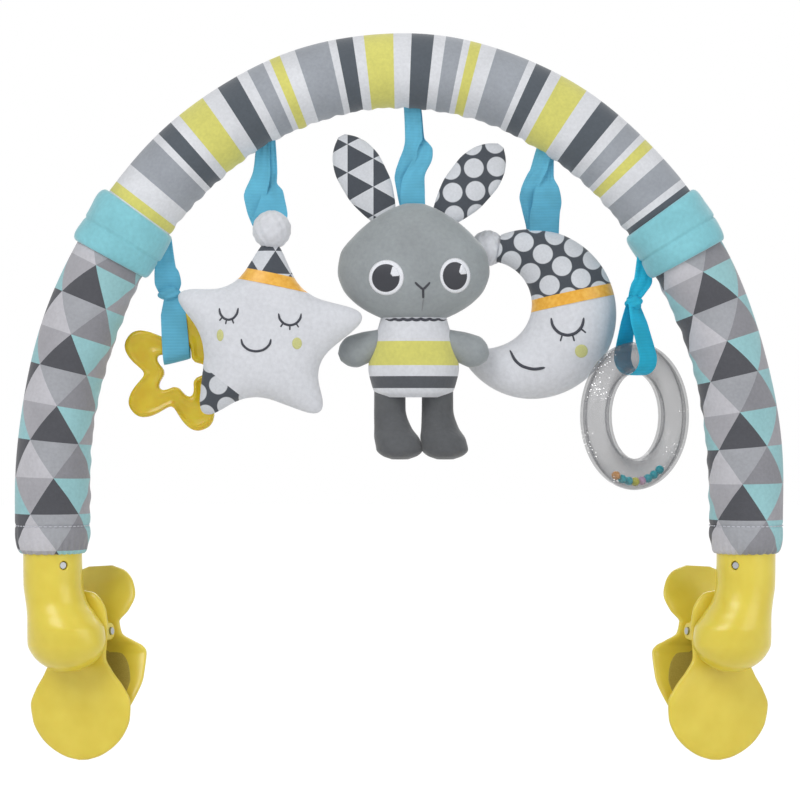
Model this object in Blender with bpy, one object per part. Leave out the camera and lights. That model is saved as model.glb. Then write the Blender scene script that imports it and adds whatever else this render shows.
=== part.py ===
"""Hanging toy bar for a pram or car seat.

A padded, fabric-covered arch stands on two spring clips and carries five toys on ribbons: a star
shaped teether, a plush star, a plush rabbit, a plush moon and a clear ring with beads in it.

Frame: metres, +Z up, front towards -Y.  The origin lies in the arch's plane, midway between the
two legs, at the height of the clips' grip.
"""
import math

import bmesh
import bpy
import numpy as np
from mathutils import Matrix, Vector

# Clearances
seat_gap = 0.0003           # between pieces that touch on the real object
turn_gap = 0.0004           # between pieces that turn on each other
ribbon_gap = 0.00075        # between a ribbon's sewn end and the cloth it hangs from
cut_overrun = 0.004         # how far a cutting tool runs past what it cuts

# The arch: a half ellipse on two straight legs, followed by the tube, foam and sleeves
arch_half_span = 0.208
arch_rise = 0.252
arch_spring_height = 0.134  # where the ellipse starts
leg_end_height = 0.0965     # lower end of the leg sleeves
arch_stations = 9           # bends of the faceted arch on each side
path_steps = 200            # cuts of the arch's line where its length is measured


def arch_height(x):
    """Height of the arch's middle line at a place across it."""
    return arch_spring_height + arch_rise * math.sqrt(1.0 - (x / arch_half_span) ** 2)


# The toys are made to the span, so that all five hang side by side: their sizes are in units of
# which the half span has this many, and their heights are drops from the arch above them
span_toy_units = 208.0
toy_unit = arch_half_span / span_toy_units

core_radius = 0.0068
core_bore_radius = 0.0042
core_end_drop = 0.0360       # from the sleeve's end down to the tube's end
core_end_height = leg_end_height - core_end_drop
groove_drop = 0.0065
groove_height = leg_end_height - groove_drop    # the socket screw runs in this groove
groove_width = 0.0050
groove_depth = 0.0016
core_sides = 10
bore_sides = 16

foam_radius = 0.0208
foam_bore_clearance = 0.0004
foam_end_inset = 0.0010     # the foam stops this far above the gathered end of a sleeve
foam_sides = core_sides     # so that the foam bends round the tube facet by facet

sleeve_radius = 0.0225
sleeve_cloth = 0.0010
sleeve_end_radius = 0.0192  # where the leg sleeve is gathered round the socket
sleeve_gather_length = 0.0060
sleeve_sides = 18
gather_bulge_share = 0.25   # place of the gathered end's roundest ring
smooth_angle = 35.0         # degrees between faces, from which an edge is sharp

cuff_turn = 52.6            # degrees from the top of the arch to the middle of a cuff
cuff_length = 0.0325
cuff_pile = 0.0035           # how far the plush stands proud of the sleeves
cuff_radius = sleeve_radius + cuff_pile
cuff_fold_depth = 0.0007
seam_margin_share = 0.1     # of half a cuff's length: no closer bend is made next to an end
cuff_shares = [(-1.0, 0.0), (-0.93, 0.75), (-0.62, 1.0), (-0.06, 0.95), (0.04, 0.85), (0.14, 1.0),
               (0.62, 0.97), (0.93, 0.7), (1.0, 0.0)]

# Ribbons: folded straps, each sewn to the cloth above it
ribbon_width = 0.0160
ribbon_thickness = 0.0042   # two layers and the air between them
ribbon_sides = 10
ribbon_edge_power = 2.6
round_power = 2.0           # of the superellipse round a stuffed form
ribbon_pivot_drop = 0.0020  # from the lowest point of a ribbon's sewn edge to its swing axis
strap_thickness = 0.0011    # one layer, where a ribbon opens into a loop
strap_gap = 0.0004          # between a loop and the toy that hangs in it
loop_arc_steps = 8
loop_neck_share = 0.25      # half thickness of a loop's tied end, of the folded ribbon's
pompom_foot_share = 0.4     # height of a ribbon's foot in a pompom, of its radius
foot_sink_share = 1.5       # depth of a ribbon's foot in the moon, of its thickness
# Width share and thickness share, from the sewn edge down
plain_ribbon_shares = [(0.8, 0.45), (0.95, 1.0), (0.72, 1.35), (0.9, 1.1), (1.0, 0.9)]
knot_ribbon_shares = [(0.5, 0.4), (0.5, 0.7), (0.66, 1.9), (0.84, 2.3), (0.78, 1.8)]
star_ribbon_x = -82.2 * toy_unit
star_ribbon_twist = 35.0    # degrees over the ribbon's length
bunny_ribbon_x = 10.6 * toy_unit
bunny_ribbon_twist = 25.0
moon_ribbon_x = 90.0 * toy_unit
moon_ribbon_twist = -30.0
moon_ribbon_foot_x = 93.5 * toy_unit
teether_ribbon_x = -141.0 * toy_unit
teether_knot_x = -136.8 * toy_unit
teether_knot_y = 4.0 * toy_unit
teether_knot_drop = 19.6029 * toy_unit   # below the ribbon's sewn edge
teether_loop_room = 0.0010  # between the loop's sides and the teether's faces
teether_loop_straight_share = 0.64
teether_loop_power = 3.0     # of the bend's superellipse
ring_ribbon_x = 145.5 * toy_unit
ring_knot_x = 140.0 * toy_unit
ring_knot_drop = 18.5107 * toy_unit
ring_loop_room = 0.0009     # between the loop and the ring's tube
ring_loop_straight_share = 0.22

# Clips: a socket on the leg's end, and two jaws sprung together below it
clip_yaw = 22.0             # degrees that the paddles face outwards from the front
clip_lean = 4.0             # degrees that the paddles lean inwards at rest
socket_radius = 0.0176
socket_overlap = 0.0035      # of the socket's top inside the gathered end of the sleeve
socket_top = leg_end_height + socket_overlap
bulb_drop = 0.0455
bulb_height = leg_end_height - bulb_drop        # of the swivel's axis
bulb_inset = 0.0065         # from the leg's axis to the swivel's axis
bulb_radius = 0.0245
swivel_back = 0.0130        # flat back of the bulb, where the outer jaw turns
swivel_recess_radius = 0.0262
socket_sides = 18
# Share of the height down, share of the bulb's inset, and shares of the radius across and deep
socket_shares = [(0.0, 0.0, 0.93, 0.93), (0.03, 0.0, 1.0, 1.0), (0.28, 0.03, 1.0, 1.0),
                 (0.42, 0.32, 1.03, 1.02), (0.54, 0.88, 1.16, 1.12), (0.66, 1.38, 1.33, 1.22),
                 (0.78, 1.47, 1.37, 1.16), (0.88, 1.47, 1.18, 0.98), (0.95, 1.47, 0.86, 0.72),
                 (1.0, 1.47, 0.42, 0.4)]
socket_height = 0.0735

screw_turn = 30.0           # degrees inwards from the front to the screw's hole
screw_head_radius = 0.0025
screw_head_height = 0.0020
screw_shank_radius = 0.0014
screw_hole_radius = 0.0029
screw_head_depth = 0.0038   # from the socket's skin down to the head's seat
screw_tip_clearance = 0.0005
screw_head_top_share = 0.8  # of a screw head's radius, at its top
screw_head_sides = 10
screw_shank_sides = 8
small_hole_sides = 12

jaw_thickness = 0.0060
outer_jaw_top = 0.0220
outer_jaw_bottom = 0.0800
outer_jaw_half_width = 0.0340
# Height share, width share and thickness share, from the disc behind the bulb down
outer_jaw_shares = [(1.0, 0.22, 0.55), (0.93, 0.4, 0.8), (0.75, 0.53, 1.0), (0.4, 0.63, 1.0),
                    (0.0, 0.647, 1.0), (-0.13, 0.60, 1.0), (-0.24, 0.57, 1.0), (-0.34, 0.68, 1.0),
                    (-0.46, 0.88, 1.0), (-0.58, 1.0, 1.0), (-0.70, 0.97, 1.0), (-0.82, 0.83, 0.95),
                    (-0.92, 0.58, 0.85), (-0.98, 0.3, 0.65), (-1.0, 0.1, 0.4)]
inner_jaw_thickness = 0.0050
inner_jaw_top = 0.0350
inner_jaw_bottom = 0.0720
inner_jaw_half_width = 0.0335
inner_jaw_back = 0.0260     # from the outer jaw's mid plane to the deepest point of the throat
# Height share, width share, depth share and thickness share, from the squeeze lobe down
inner_jaw_shares = [(1.0, 0.25, 1.40, 0.5), (0.9, 0.52, 1.35, 0.85), (0.7, 0.72, 1.22, 1.0),
                    (0.46, 0.80, 1.08, 1.0), (0.22, 0.70, 0.96, 1.0), (0.03, 0.53, 0.88, 1.0),
                    (-0.08, 0.56, 0.89, 1.0), (-0.15, 0.76, 0.94, 1.0), (-0.20, 0.93, 0.985, 1.0),
                    (-0.25, 1.0, 0.987, 1.0), (-0.45, 1.02, 0.728, 1.0), (-0.66, 0.87, 0.455, 1.0),
                    (-0.83, 0.64, 0.235, 0.95), (-0.93, 0.40, 0.29, 0.8), (-1.0, 0.14, 0.38, 0.5)]
inner_face_share = 9        # row of the table where the lower jaw's straight part starts
inner_tip_share = 12        # and where it ends
jaw_ring_points = 12
jaw_edge_power = 3.6        # of the superellipse across a jaw: 2 is round, more is squarer
waist_share = 5             # row of the table at the lever's waist

pin_drop = 0.0040           # below the swivel's axis
pin_depth = 0.0140          # behind the outer jaw's mid plane
pin_radius = 0.0022
pin_half_length = 0.0175
pin_head_radius = 0.0034
pin_head_length = 0.0012
ear_radius = 0.0052
ear_base_share = 1.15       # half height of an ear at its plate, of its radius
ear_arc_steps = 6
pin_sides = 12
outer_ear_inner = 0.0128    # along the pin, from the middle to an ear's near and far faces
outer_ear_outer = 0.0164
inner_ear_inner = 0.0084
inner_ear_outer = 0.0122

spring_wire_radius = 0.0006
spring_coil_radius = 0.0040
spring_curls = 4
spring_points_per_curl = 8
spring_pitch = 0.0018
spring_arm_rise = 0.0170
spring_rest_share = 3       # row of the lever's table that the rear arm rests on
spring_gap_steps = 6        # cuts of each straight piece of wire where its gap is measured

rivet_radius = 0.0030
rivet_head_radius = 0.0060
rivet_head_height = 0.0020
rivet_depth = 0.0120        # into the bulb
rivet_head_sides = 16

pad_half_height = 0.0190
pad_half_width = 0.0125
pad_recess = 0.0014
pad_thickness = 0.0028
pad_drop = 0.0300           # below the swivel's axis, on the outer jaw
pad_sides = 16
pad_edge_power = 2.2

# Plush star: seen from the front, five arms round a middle
star_middle_x = -82.4 * toy_unit
star_middle_drop = 144.09 * toy_unit
star_middle_z = arch_height(star_ribbon_x) - star_middle_drop
star_y = -15.0 * toy_unit
star_half_thickness = 16.0 * toy_unit
star_reach = 64.0 * toy_unit
star_notch = 39.0 * toy_unit
star_arm_shares = [(84.5, 1.04), (15.2, 1.05), (-48.4, 0.90), (-128.6, 0.90), (-210.8, 0.965)]
star_notch_shares = [(50.5, 0.98), (-19.3, 0.85), (-101.5, 0.74), (-186.0, 0.83), (-244.0, 0.93)]
star_tip_round = 8.5 * toy_unit
star_notch_round = 15.0 * toy_unit
star_tip_overshoot_share = 0.35     # of a corner beyond its rounded tip
star_corner_steps = 3
star_ring_shares = [1.0, 0.93, 0.74, 0.42]
star_crown_power = 2.4
corner_room_share = 0.45    # most of a side that a rounded corner may take
star_band_top = 43.0 * toy_unit   # along the top arm, from the middle
star_band_width = 7.2 * toy_unit
star_band_proud = 0.0007
star_band_turn = 6.0        # degrees that the band drops to the right
star_patch_reach = 31.0 * toy_unit   # along the lower left arm, from the middle
pompom_radius = 11.5 * toy_unit
ball_sides = 12
ball_rows = 8
ball_cut_rows = 9
ball_gap = 0.0005           # round a pompom, whose facets stand out from the plain sphere
star_pompom_rise = 68.5 * toy_unit   # from the star's middle

# Plush rabbit
rabbit_x = 8.6 * toy_unit
head_bottom_drop = 151.37 * toy_unit
head_bottom = arch_height(bunny_ribbon_x) - head_bottom_drop
head_height = 71.7 * toy_unit
head_half_width = 45.6 * toy_unit
head_half_depth = 27.0 * toy_unit
head_shares = [(0.0, 0.18, 0.25), (0.023, 0.33, 0.45), (0.088, 0.575, 0.68), (0.18, 0.79, 0.84),
               (0.29, 0.935, 0.95), (0.43, 1.0, 1.0), (0.58, 0.965, 0.97), (0.736, 0.78, 0.84),
               (0.86, 0.56, 0.64), (0.945, 0.35, 0.42), (1.0, 0.14, 0.2)]
body_bottom = head_bottom - 44.3 * toy_unit
body_height = 52.0 * toy_unit
body_half_width = 27.2 * toy_unit
body_half_depth = 20.0 * toy_unit
body_shares = [(0.0, 0.5, 0.45), (0.05, 0.74, 0.7), (0.17, 0.93, 0.92), (0.34, 1.0, 1.0),
               (0.6, 0.9, 0.92), (0.85, 0.76, 0.8), (1.0, 0.68, 0.7)]
ear_length = 56.0 * toy_unit
ear_half_width = 14.5 * toy_unit
ear_half_depth = 4.5 * toy_unit
ear_root_x = 17.0 * toy_unit   # from the rabbit's middle to an ear's root
ear_root_z = head_bottom + 66.7 * toy_unit
right_ear_splay = 28.0      # degrees that the ears lean apart, from upright
left_ear_splay = 39.0
ear_shares = [(0.0, 0.5, 0.8), (0.15, 0.74, 0.95), (0.38, 0.97, 1.0), (0.6, 1.0, 1.0),
              (0.79, 0.84, 0.9), (0.92, 0.52, 0.7), (1.0, 0.16, 0.3)]
arm_length = 33.8 * toy_unit
arm_half_width = 9.8 * toy_unit
arm_half_depth = 8.8 * toy_unit
arm_root_x = 13.0 * toy_unit
arm_root_z = head_bottom - 8.1 * toy_unit
arm_drop = 21.0             # degrees below the level
arm_shares = [(0.0, 0.62, 0.7), (0.25, 0.78, 0.85), (0.5, 0.95, 1.0), (0.72, 1.0, 1.0),
              (0.9, 0.72, 0.75), (1.0, 0.25, 0.3)]
leg_spread = 14.3 * toy_unit   # from the rabbit's middle to a leg's root
leg_root_z = body_bottom + 6.0 * toy_unit
leg_length = 43.0 * toy_unit
leg_half_width = 9.4 * toy_unit
foot_half_width = 14.3 * toy_unit
foot_shift = 6.5 * toy_unit
foot_forward = 8.0 * toy_unit
# Length share, width share towards the foot's, shift share and forward share
leg_shares = [(0.0, 0.0, 0.0, 0.0), (0.3, 0.02, 0.0, 0.0), (0.55, 0.35, 0.3, 0.35),
              (0.72, 0.85, 0.75, 0.85), (0.86, 0.92, 1.0, 1.0), (0.95, 0.25, 1.05, 1.05),
              (1.0, -0.9, 1.05, 1.05)]
soft_sides = 16
head_sides = 20
ear_sink_share = 0.25        # of an ear's half width, sunk into the head at its root
limb_sides = 12

# Plush moon: the space between an outer and an inner circle
moon_outer_x = 80.2 * toy_unit
moon_outer_drop = 120.59 * toy_unit
moon_outer_z = arch_height(moon_ribbon_x) - moon_outer_drop
moon_outer_radius = 51.6 * toy_unit
moon_inner_x = 54.4 * toy_unit
moon_inner_z = moon_outer_z + 6.0 * toy_unit
moon_inner_radius = 26.0 * toy_unit
moon_y = 19.5 * toy_unit
moon_half_thickness = 16.5 * toy_unit
moon_cap_turn = 80.0        # degrees, round the inner circle, of the cap's end
moon_tip_turn = -132.0      # and of the lower tip
moon_stations = 15
moon_sides = 14
moon_widest_turn = -13.0
moon_tip_share = 0.35        # of the crescent's length, where its lower tip narrows
moon_tip_blunt_share = 0.017 # of that length, cut off the tip's point
moon_depth_power = 0.7       # of a section's depth over its width
moon_band_x = 103.5 * toy_unit   # the middle of the band
moon_band_z = moon_outer_z + 9.6 * toy_unit
moon_band_slope = 12.0
moon_band_width = 7.2 * toy_unit
moon_band_proud = 0.0007
moon_pompom_radius = 10.8 * toy_unit
moon_pompom_x = 53.8 * toy_unit
moon_pompom_z = moon_outer_z + 40.2 * toy_unit
moon_pompom_back = 3.0 * toy_unit   # behind the moon's mid plane

# Teether: a lobed star with a star shaped hole
teether_x = -131.6 * toy_unit
teether_drop = 113.46 * toy_unit
teether_z = arch_height(teether_ribbon_x) - teether_drop
teether_y = 6.2 * toy_unit
teether_middle_radius = 30.0 * toy_unit
teether_lobe = 7.8 * toy_unit
teether_hole_tip = 16.2 * toy_unit
teether_hole_notch = 10.0 * toy_unit
teether_turn = 4.0          # degrees of the first lobe above the level
teether_lobes = 5
teether_bridge_lobe = 1      # it hangs by the bridge between this lobe and the next
teether_half_thickness = 4.5 * toy_unit
teether_points = 45
teether_hole_power = 1.5     # how pointed the hole's tips are
teether_section_shares = [(0.0, 0.5), (0.14, 1.0), (0.38, 0.8), (0.62, 0.8), (0.86, 1.0), (1.0, 0.5)]

# Ring rattle: two half shells round a channel for the beads
ring_x = 141.6 * toy_unit
ring_drop = 135.28 * toy_unit
ring_z = arch_height(ring_ribbon_x) - ring_drop
ring_middle_radius = 35.0 * toy_unit
ring_tube_radius = 9.4 * toy_unit
ring_wall = 1.7 * toy_unit
ring_yaw = 43.4             # degrees, left side to the front
ring_points = 26
ring_section_points = 5
bead_radius = 2.7 * toy_unit
bead_count = 8
bead_sides = 8
bead_rows = 5
bead_first_turn = -26.1     # degrees from the ring's lowest point
bead_step_turn = 8.6


def cos(degrees):
    return math.cos(math.radians(degrees))


def sin(degrees):
    return math.sin(math.radians(degrees))


def clear_scene():
    for old in list(bpy.data.objects):
        bpy.data.objects.remove(old, do_unlink=True)


def make_material(name, colour, roughness, metallic=0.0):
    material = bpy.data.materials.new(name)
    material.use_nodes = True
    shader = material.node_tree.nodes["Principled BSDF"]
    shader.inputs["Base Color"].default_value = (*colour, 1.0)
    shader.inputs["Roughness"].default_value = roughness
    shader.inputs["Metallic"].default_value = metallic
    return material


def make_object(name, bm, finish, smooth=True):
    """Turn a bmesh into a named object with its own material, faces pointing out."""
    bmesh.ops.recalc_face_normals(bm, faces=bm.faces)
    mesh = bpy.data.meshes.new(name)
    bm.to_mesh(mesh)
    bm.free()
    if smooth:
        mesh.shade_smooth()
        mesh.set_sharp_from_angle(angle=math.radians(smooth_angle))
    item = bpy.data.objects.new(name, mesh)
    bpy.context.collection.objects.link(item)
    mesh.materials.append(make_material(name, *finish))
    return item


def loft(rings, round_trip=False, bm=None):
    """A closed skin over a row of rings; round_trip joins the last ring to the first."""
    bm = bm or bmesh.new()
    rows = [[bm.verts.new(tuple(point)) for point in ring] for ring in rings]
    count = len(rows[0])
    pairs = list(zip(rows, rows[1:]))
    if round_trip:
        pairs.append((rows[-1], rows[0]))
    for low, high in pairs:
        for i in range(count):
            j = (i + 1) % count
            bm.faces.new((low[i], low[j], high[j], high[i]))
    if not round_trip:
        bm.faces.new(rows[0])
        bm.faces.new(rows[-1])
    return bm


def tube_loft(outer_rings, inner_rings):
    """A pipe: the outer skin, its ends, and the bore, as one closed skin."""
    return loft(list(outer_rings) + list(reversed(inner_rings)), round_trip=True)


def boolean(item, tool, operation):
    """Apply an exact Boolean to item's mesh and delete the tool."""
    modifier = item.modifiers.new("cut", "BOOLEAN")
    modifier.operation = operation
    modifier.solver = "EXACT"
    modifier.object = tool
    graph = bpy.context.evaluated_depsgraph_get()
    graph.update()
    result = bpy.data.meshes.new_from_object(item.evaluated_get(graph))
    item.modifiers.clear()
    finish = item.data.materials[0]
    item.data = result
    result.materials.clear()
    result.materials.append(finish)
    bpy.data.objects.remove(tool, do_unlink=True)
    return item


def tool_object(bm):
    bmesh.ops.recalc_face_normals(bm, faces=bm.faces)
    mesh = bpy.data.meshes.new("tool")
    bm.to_mesh(mesh)
    bm.free()
    item = bpy.data.objects.new("tool", mesh)
    item.hide_render = True
    item.display_type = "WIRE"
    bpy.context.collection.objects.link(item)
    return item


def round_bar(start, end, start_radius, end_radius, sides):
    """A plain round bar or cone between two points."""
    axis = (Vector(end) - Vector(start)).normalized()
    side = axis.orthogonal().normalized()
    other = axis.cross(side)
    rings = []
    for centre, radius in ((start, start_radius), (end, end_radius)):
        rings.append([Vector(centre) + radius * (cos(360.0 * k / sides) * side
                                                 + sin(360.0 * k / sides) * other)
                      for k in range(sides)])
    return loft(rings)


def bisect(bm, point, normal, keep_above=True):
    """Cut a closed skin with a plane, keep one side and close the cut."""
    normal = Vector(normal).normalized()
    geometry = bm.verts[:] + bm.edges[:] + bm.faces[:]
    cut = bmesh.ops.bisect_plane(bm, geom=geometry, plane_co=Vector(point), plane_no=normal,
                                 clear_inner=keep_above, clear_outer=not keep_above)
    edges = [e for e in cut["geom_cut"] if isinstance(e, bmesh.types.BMEdge)]
    bmesh.ops.holes_fill(bm, edges=edges)
    return bm


def sphere(centre, radius, around, down):
    rings = []
    for k in range(1, down):
        turn = 180.0 * k / down
        rings.append([(centre[0] + radius * sin(turn) * cos(360.0 * i / around),
                       centre[1] + radius * sin(turn) * sin(360.0 * i / around),
                       centre[2] - radius * cos(turn)) for i in range(around)])
    bm = loft(rings)
    poles = [f for f in bm.faces if len(f.verts) == around]
    for face, sign in zip(sorted(poles, key=lambda f: f.calc_center_median().z), (-1.0, 1.0)):
        made = bmesh.ops.poke(bm, faces=[face])
        for vertex in made["verts"]:
            vertex.co.z = centre[2] + sign * radius
    return bm


def bar_station(share):
    """Centre and outward direction at a share of the arch: +-1 are the ends of the ellipse,
    and beyond them the legs run straight down, one more share to leg_end_height."""
    bounded = max(-1.0, min(1.0, share))
    turn = 90.0 * bounded
    centre = Vector((arch_half_span * sin(turn), 0.0, arch_spring_height + arch_rise * cos(turn)))
    outward = Vector((sin(turn) / arch_half_span, 0.0, cos(turn) / arch_rise)).normalized()
    centre.z -= (abs(share) - abs(bounded)) * (arch_spring_height - leg_end_height)
    return centre, outward


def bar_share_at_height(height):
    """The share of the straight leg at a height."""
    return 1.0 + (arch_spring_height - height) / (arch_spring_height - leg_end_height)


def bar_ring(share, radius, sides):
    centre, outward = bar_station(share)
    across = Vector((0.0, 1.0, 0.0))
    return [centre + radius * (cos(360.0 * k / sides) * outward + sin(360.0 * k / sides) * across)
            for k in range(sides)]


def bar_path_length(low_share, high_share):
    points = [bar_station(low_share + (high_share - low_share) * k / path_steps)[0]
              for k in range(path_steps + 1)]
    return sum((b - a).length for a, b in zip(points, points[1:]))


cuff_share = cuff_turn / 90.0
cuff_half_share = 0.5 * cuff_length / bar_path_length(cuff_share - 0.5, cuff_share + 0.5)


def bar_row(low, high):
    """Shares from low to high.  Everything on the arch bends at the same stations, so that
    pieces inside each other keep their gap."""
    seams = [cuff_share - cuff_half_share, cuff_share, cuff_share + cuff_half_share]
    even = [k / arch_stations for k in range(arch_stations + 1)]
    even = [s for s in even if min(abs(s - seam) for seam in seams) > 0.5 * cuff_half_share]
    half = sorted(even + seams)
    row = [-s for s in reversed(half)] + half[1:]
    margin = seam_margin_share * cuff_half_share
    return [low] + [s for s in row if low + margin < s < high - margin] + [high]


def sleeve_profile():
    return [(s, sleeve_radius) for s in bar_row(-1.0, 1.0)]


def cuff_profile(side):
    """Shares and radii of a cuff's outside, but for its drawn-in ends."""
    base = sleeve_radius + seat_gap + cuff_fold_depth
    return [(side * (cuff_share + along * cuff_half_share), base + (cuff_radius - base) * rise)
            for along, rise in cuff_shares[1:-1]]


def underside(profile, x):
    """Lowest height at a place across the arch of the faceted bar with these shares and radii."""
    points = []
    for share, radius in profile:
        centre, outward = bar_station(share)
        points.append((centre.x - radius * outward.x, centre.z - radius * outward.z))
    points.sort()
    return float(np.interp(x, [point[0] for point in points], [point[1] for point in points]))


sleeve_end_share = seat_gap / cuff_length * cuff_half_share


plastic_yellow = ((0.80, 0.66, 0.06), 0.32)
pad_mustard = ((0.52, 0.42, 0.10), 0.7)
steel = ((0.55, 0.56, 0.58), 0.3, 1.0)
cloth_print = ((0.55, 0.56, 0.58), 0.9)
ribbon_blue = ((0.08, 0.42, 0.55), 0.85)
plush_white = ((0.78, 0.79, 0.83), 0.95)
plush_gray = ((0.28, 0.29, 0.29), 0.95)


def make_core_tube():
    """Springy plastic tube through the whole arch, with a groove near each end for a screw."""
    end_share = bar_share_at_height(core_end_height)
    low_edge = bar_share_at_height(groove_height - 0.5 * groove_width)
    high_edge = bar_share_at_height(groove_height + 0.5 * groove_width)
    shares = [(-end_share, 0.0), (-low_edge, 0.0), (-low_edge, groove_depth),
              (-high_edge, groove_depth), (-high_edge, 0.0)]
    arch = bar_row(-1.0, 1.0)
    row = shares + [(s, 0.0) for s in arch] + [(-s, cut) for s, cut in reversed(shares)]
    outer = [bar_ring(s, core_radius - cut, core_sides) for s, cut in row]
    inner = [bar_ring(s, core_bore_radius, core_sides) for s in [-end_share] + arch + [end_share]]
    return make_object("core_tube", tube_loft(outer, inner), ((0.82, 0.82, 0.8), 0.45))


def make_foam():
    end_share = bar_share_at_height(leg_end_height + sleeve_gather_length + foam_end_inset)
    row = bar_row(-end_share, end_share)
    outer = [bar_ring(s, foam_radius, foam_sides) for s in row]
    inner = [bar_ring(s, core_radius + foam_bore_clearance, foam_sides) for s in row]
    return make_object("foam_padding", tube_loft(outer, inner), ((0.85, 0.85, 0.82), 0.95))


def make_top_sleeve():
    """Striped cloth tube from cuff to cuff."""
    end = cuff_share - sleeve_end_share
    row = bar_row(-end, end)
    outer = [bar_ring(s, sleeve_radius, sleeve_sides) for s in row]
    inner = [bar_ring(s, sleeve_radius - sleeve_cloth, sleeve_sides) for s in row]
    return make_object("top_sleeve", tube_loft(outer, inner), cloth_print)


def make_leg_sleeve(name, side):
    """Printed cloth tube from the cuff down to the socket, where it is gathered in."""
    end = bar_share_at_height(leg_end_height)
    gather = bar_share_at_height(leg_end_height + sleeve_gather_length)
    row = [(s, sleeve_radius) for s in bar_row(cuff_share + sleeve_end_share, gather)]
    half = 0.5 * (gather + end)
    bulge = 0.5 * (sleeve_radius + sleeve_end_radius) + sleeve_cloth
    row += [(half + gather_bulge_share * (end - half), bulge), (end, sleeve_end_radius)]
    outer = [bar_ring(side * s, r, sleeve_sides) for s, r in row]
    inner = [bar_ring(side * s, r - sleeve_cloth, sleeve_sides) for s, r in row]
    return make_object(name, tube_loft(outer, inner), cloth_print)


def make_cuff(name, side):
    """Folded plush band over the seam between two sleeves."""
    bore = sleeve_radius + seat_gap
    drawn_in = bore + cuff_fold_depth
    ends = [(side * (cuff_share + along * cuff_half_share), drawn_in) for along in (-1.0, 1.0)]
    outer = [bar_ring(s, r, sleeve_sides) for s, r in [ends[0]] + cuff_profile(side) + [ends[1]]]
    inner = [bar_ring(side * (cuff_share + along * cuff_half_share), bore, sleeve_sides)
             for along in (-1.0, 0.0, 1.0)]
    return make_object(name, tube_loft(outer, inner), ((0.22, 0.62, 0.68), 0.95))


def clip_point(side, u, d, z):
    """A clip's own axes: u outwards across the paddle, d along its outward normal, z up.
    All are measured from the leg's axis, turned by the clip's yaw and mirrored to its side."""
    return Vector((side * (arch_half_span + u * cos(clip_yaw) + d * sin(clip_yaw)),
                   u * sin(clip_yaw) - d * cos(clip_yaw), z))


def jaw_point(side, u, d, z):
    """As clip_point, measured from the swivel's axis and leaning by the rest lean."""
    lean_u = u * cos(clip_lean) + z * sin(clip_lean)
    lean_z = z * cos(clip_lean) - u * sin(clip_lean)
    return clip_point(side, lean_u - bulb_inset, d, bulb_height + lean_z)


outer_jaw_mid = -(swivel_back + turn_gap + 0.5 * jaw_thickness)
pin_d = outer_jaw_mid - pin_depth


def oval(half_width, half_depth, sides, power):
    """Points round a superellipse."""
    points = []
    for k in range(sides):
        c, s = cos(360.0 * k / sides), sin(360.0 * k / sides)
        points.append((half_width * math.copysign(abs(c) ** (2.0 / power), c),
                       half_depth * math.copysign(abs(s) ** (2.0 / power), s)))
    return points


def make_socket(prefix, side):
    """Moulded socket: a barrel for the leg that swells into a bulb over the swivel."""
    rings = []
    for down, shift, wide, deep in socket_shares:
        z = socket_top - down * socket_height
        section = oval(socket_radius * wide, socket_radius * deep, socket_sides, round_power)
        rings.append([clip_point(side, u - shift * bulb_inset, d, z) for u, d in section])
    item = make_object(prefix + "_socket", loft(rings), plastic_yellow)
    # Flat back of the bulb, where the outer jaw turns
    axis_u = -bulb_inset
    start = clip_point(side, axis_u, -swivel_back, bulb_height)
    end = clip_point(side, axis_u, -swivel_back - bulb_radius, bulb_height)
    boolean(item, tool_object(round_bar(start, end, swivel_recess_radius, swivel_recess_radius,
                                        2 * socket_sides)), "DIFFERENCE")
    # Bore for the leg's tube
    top = clip_point(side, 0.0, 0.0, socket_top + cut_overrun)
    floor = clip_point(side, 0.0, 0.0, core_end_height - seat_gap)
    bore = core_radius + seat_gap
    boolean(item, tool_object(round_bar(top, floor, bore, bore, bore_sides)), "DIFFERENCE")
    # Blind hole for the swivel's rivet
    hole = rivet_radius + seat_gap
    start = clip_point(side, axis_u, -swivel_back - cut_overrun, bulb_height)
    end = clip_point(side, axis_u, -swivel_back + rivet_depth + seat_gap, bulb_height)
    boolean(item, tool_object(round_bar(start, end, hole, hole, small_hole_sides)), "DIFFERENCE")
    # Stepped hole for the screw
    inwards = Vector((-side * sin(screw_turn), -cos(screw_turn), 0.0))
    centre = Vector((side * arch_half_span, 0.0, groove_height))
    skin = centre + inwards * (socket_radius + cut_overrun)
    seat = centre + inwards * (socket_radius - screw_head_depth)
    shank_hole = screw_shank_radius + seat_gap
    boolean(item, tool_object(round_bar(skin, seat, screw_hole_radius, screw_hole_radius,
                                        small_hole_sides)), "DIFFERENCE")
    boolean(item, tool_object(round_bar(seat + inwards * cut_overrun, centre, shank_hole,
                                        shank_hole, screw_head_sides)), "DIFFERENCE")
    return item


def make_socket_screw(prefix, side):
    """Pan head screw whose tip runs in the tube's groove."""
    inwards = Vector((-side * sin(screw_turn), -cos(screw_turn), 0.0))
    centre = Vector((side * arch_half_span, 0.0, groove_height))
    seat = centre + inwards * (socket_radius - screw_head_depth + seat_gap)
    head = seat + inwards * screw_head_height
    tip = centre + inwards * (core_radius - groove_depth + screw_tip_clearance)
    item = make_object(prefix + "_socket_screw",
                       round_bar(seat, head, screw_head_radius, screw_head_top_share * screw_head_radius,
                                 screw_head_sides), steel)
    shank = tool_object(round_bar(seat + inwards * 0.5 * screw_head_height, tip,
                                  screw_shank_radius, screw_shank_radius, screw_shank_sides))
    return boolean(item, shank, "UNION")


def jaw_bar(side, u_from, u_to, d, z, radius, sides):
    """A round bar along a clip's pin."""
    return round_bar(jaw_point(side, u_from, d, z), jaw_point(side, u_to, d, z), radius, radius, sides)


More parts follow.
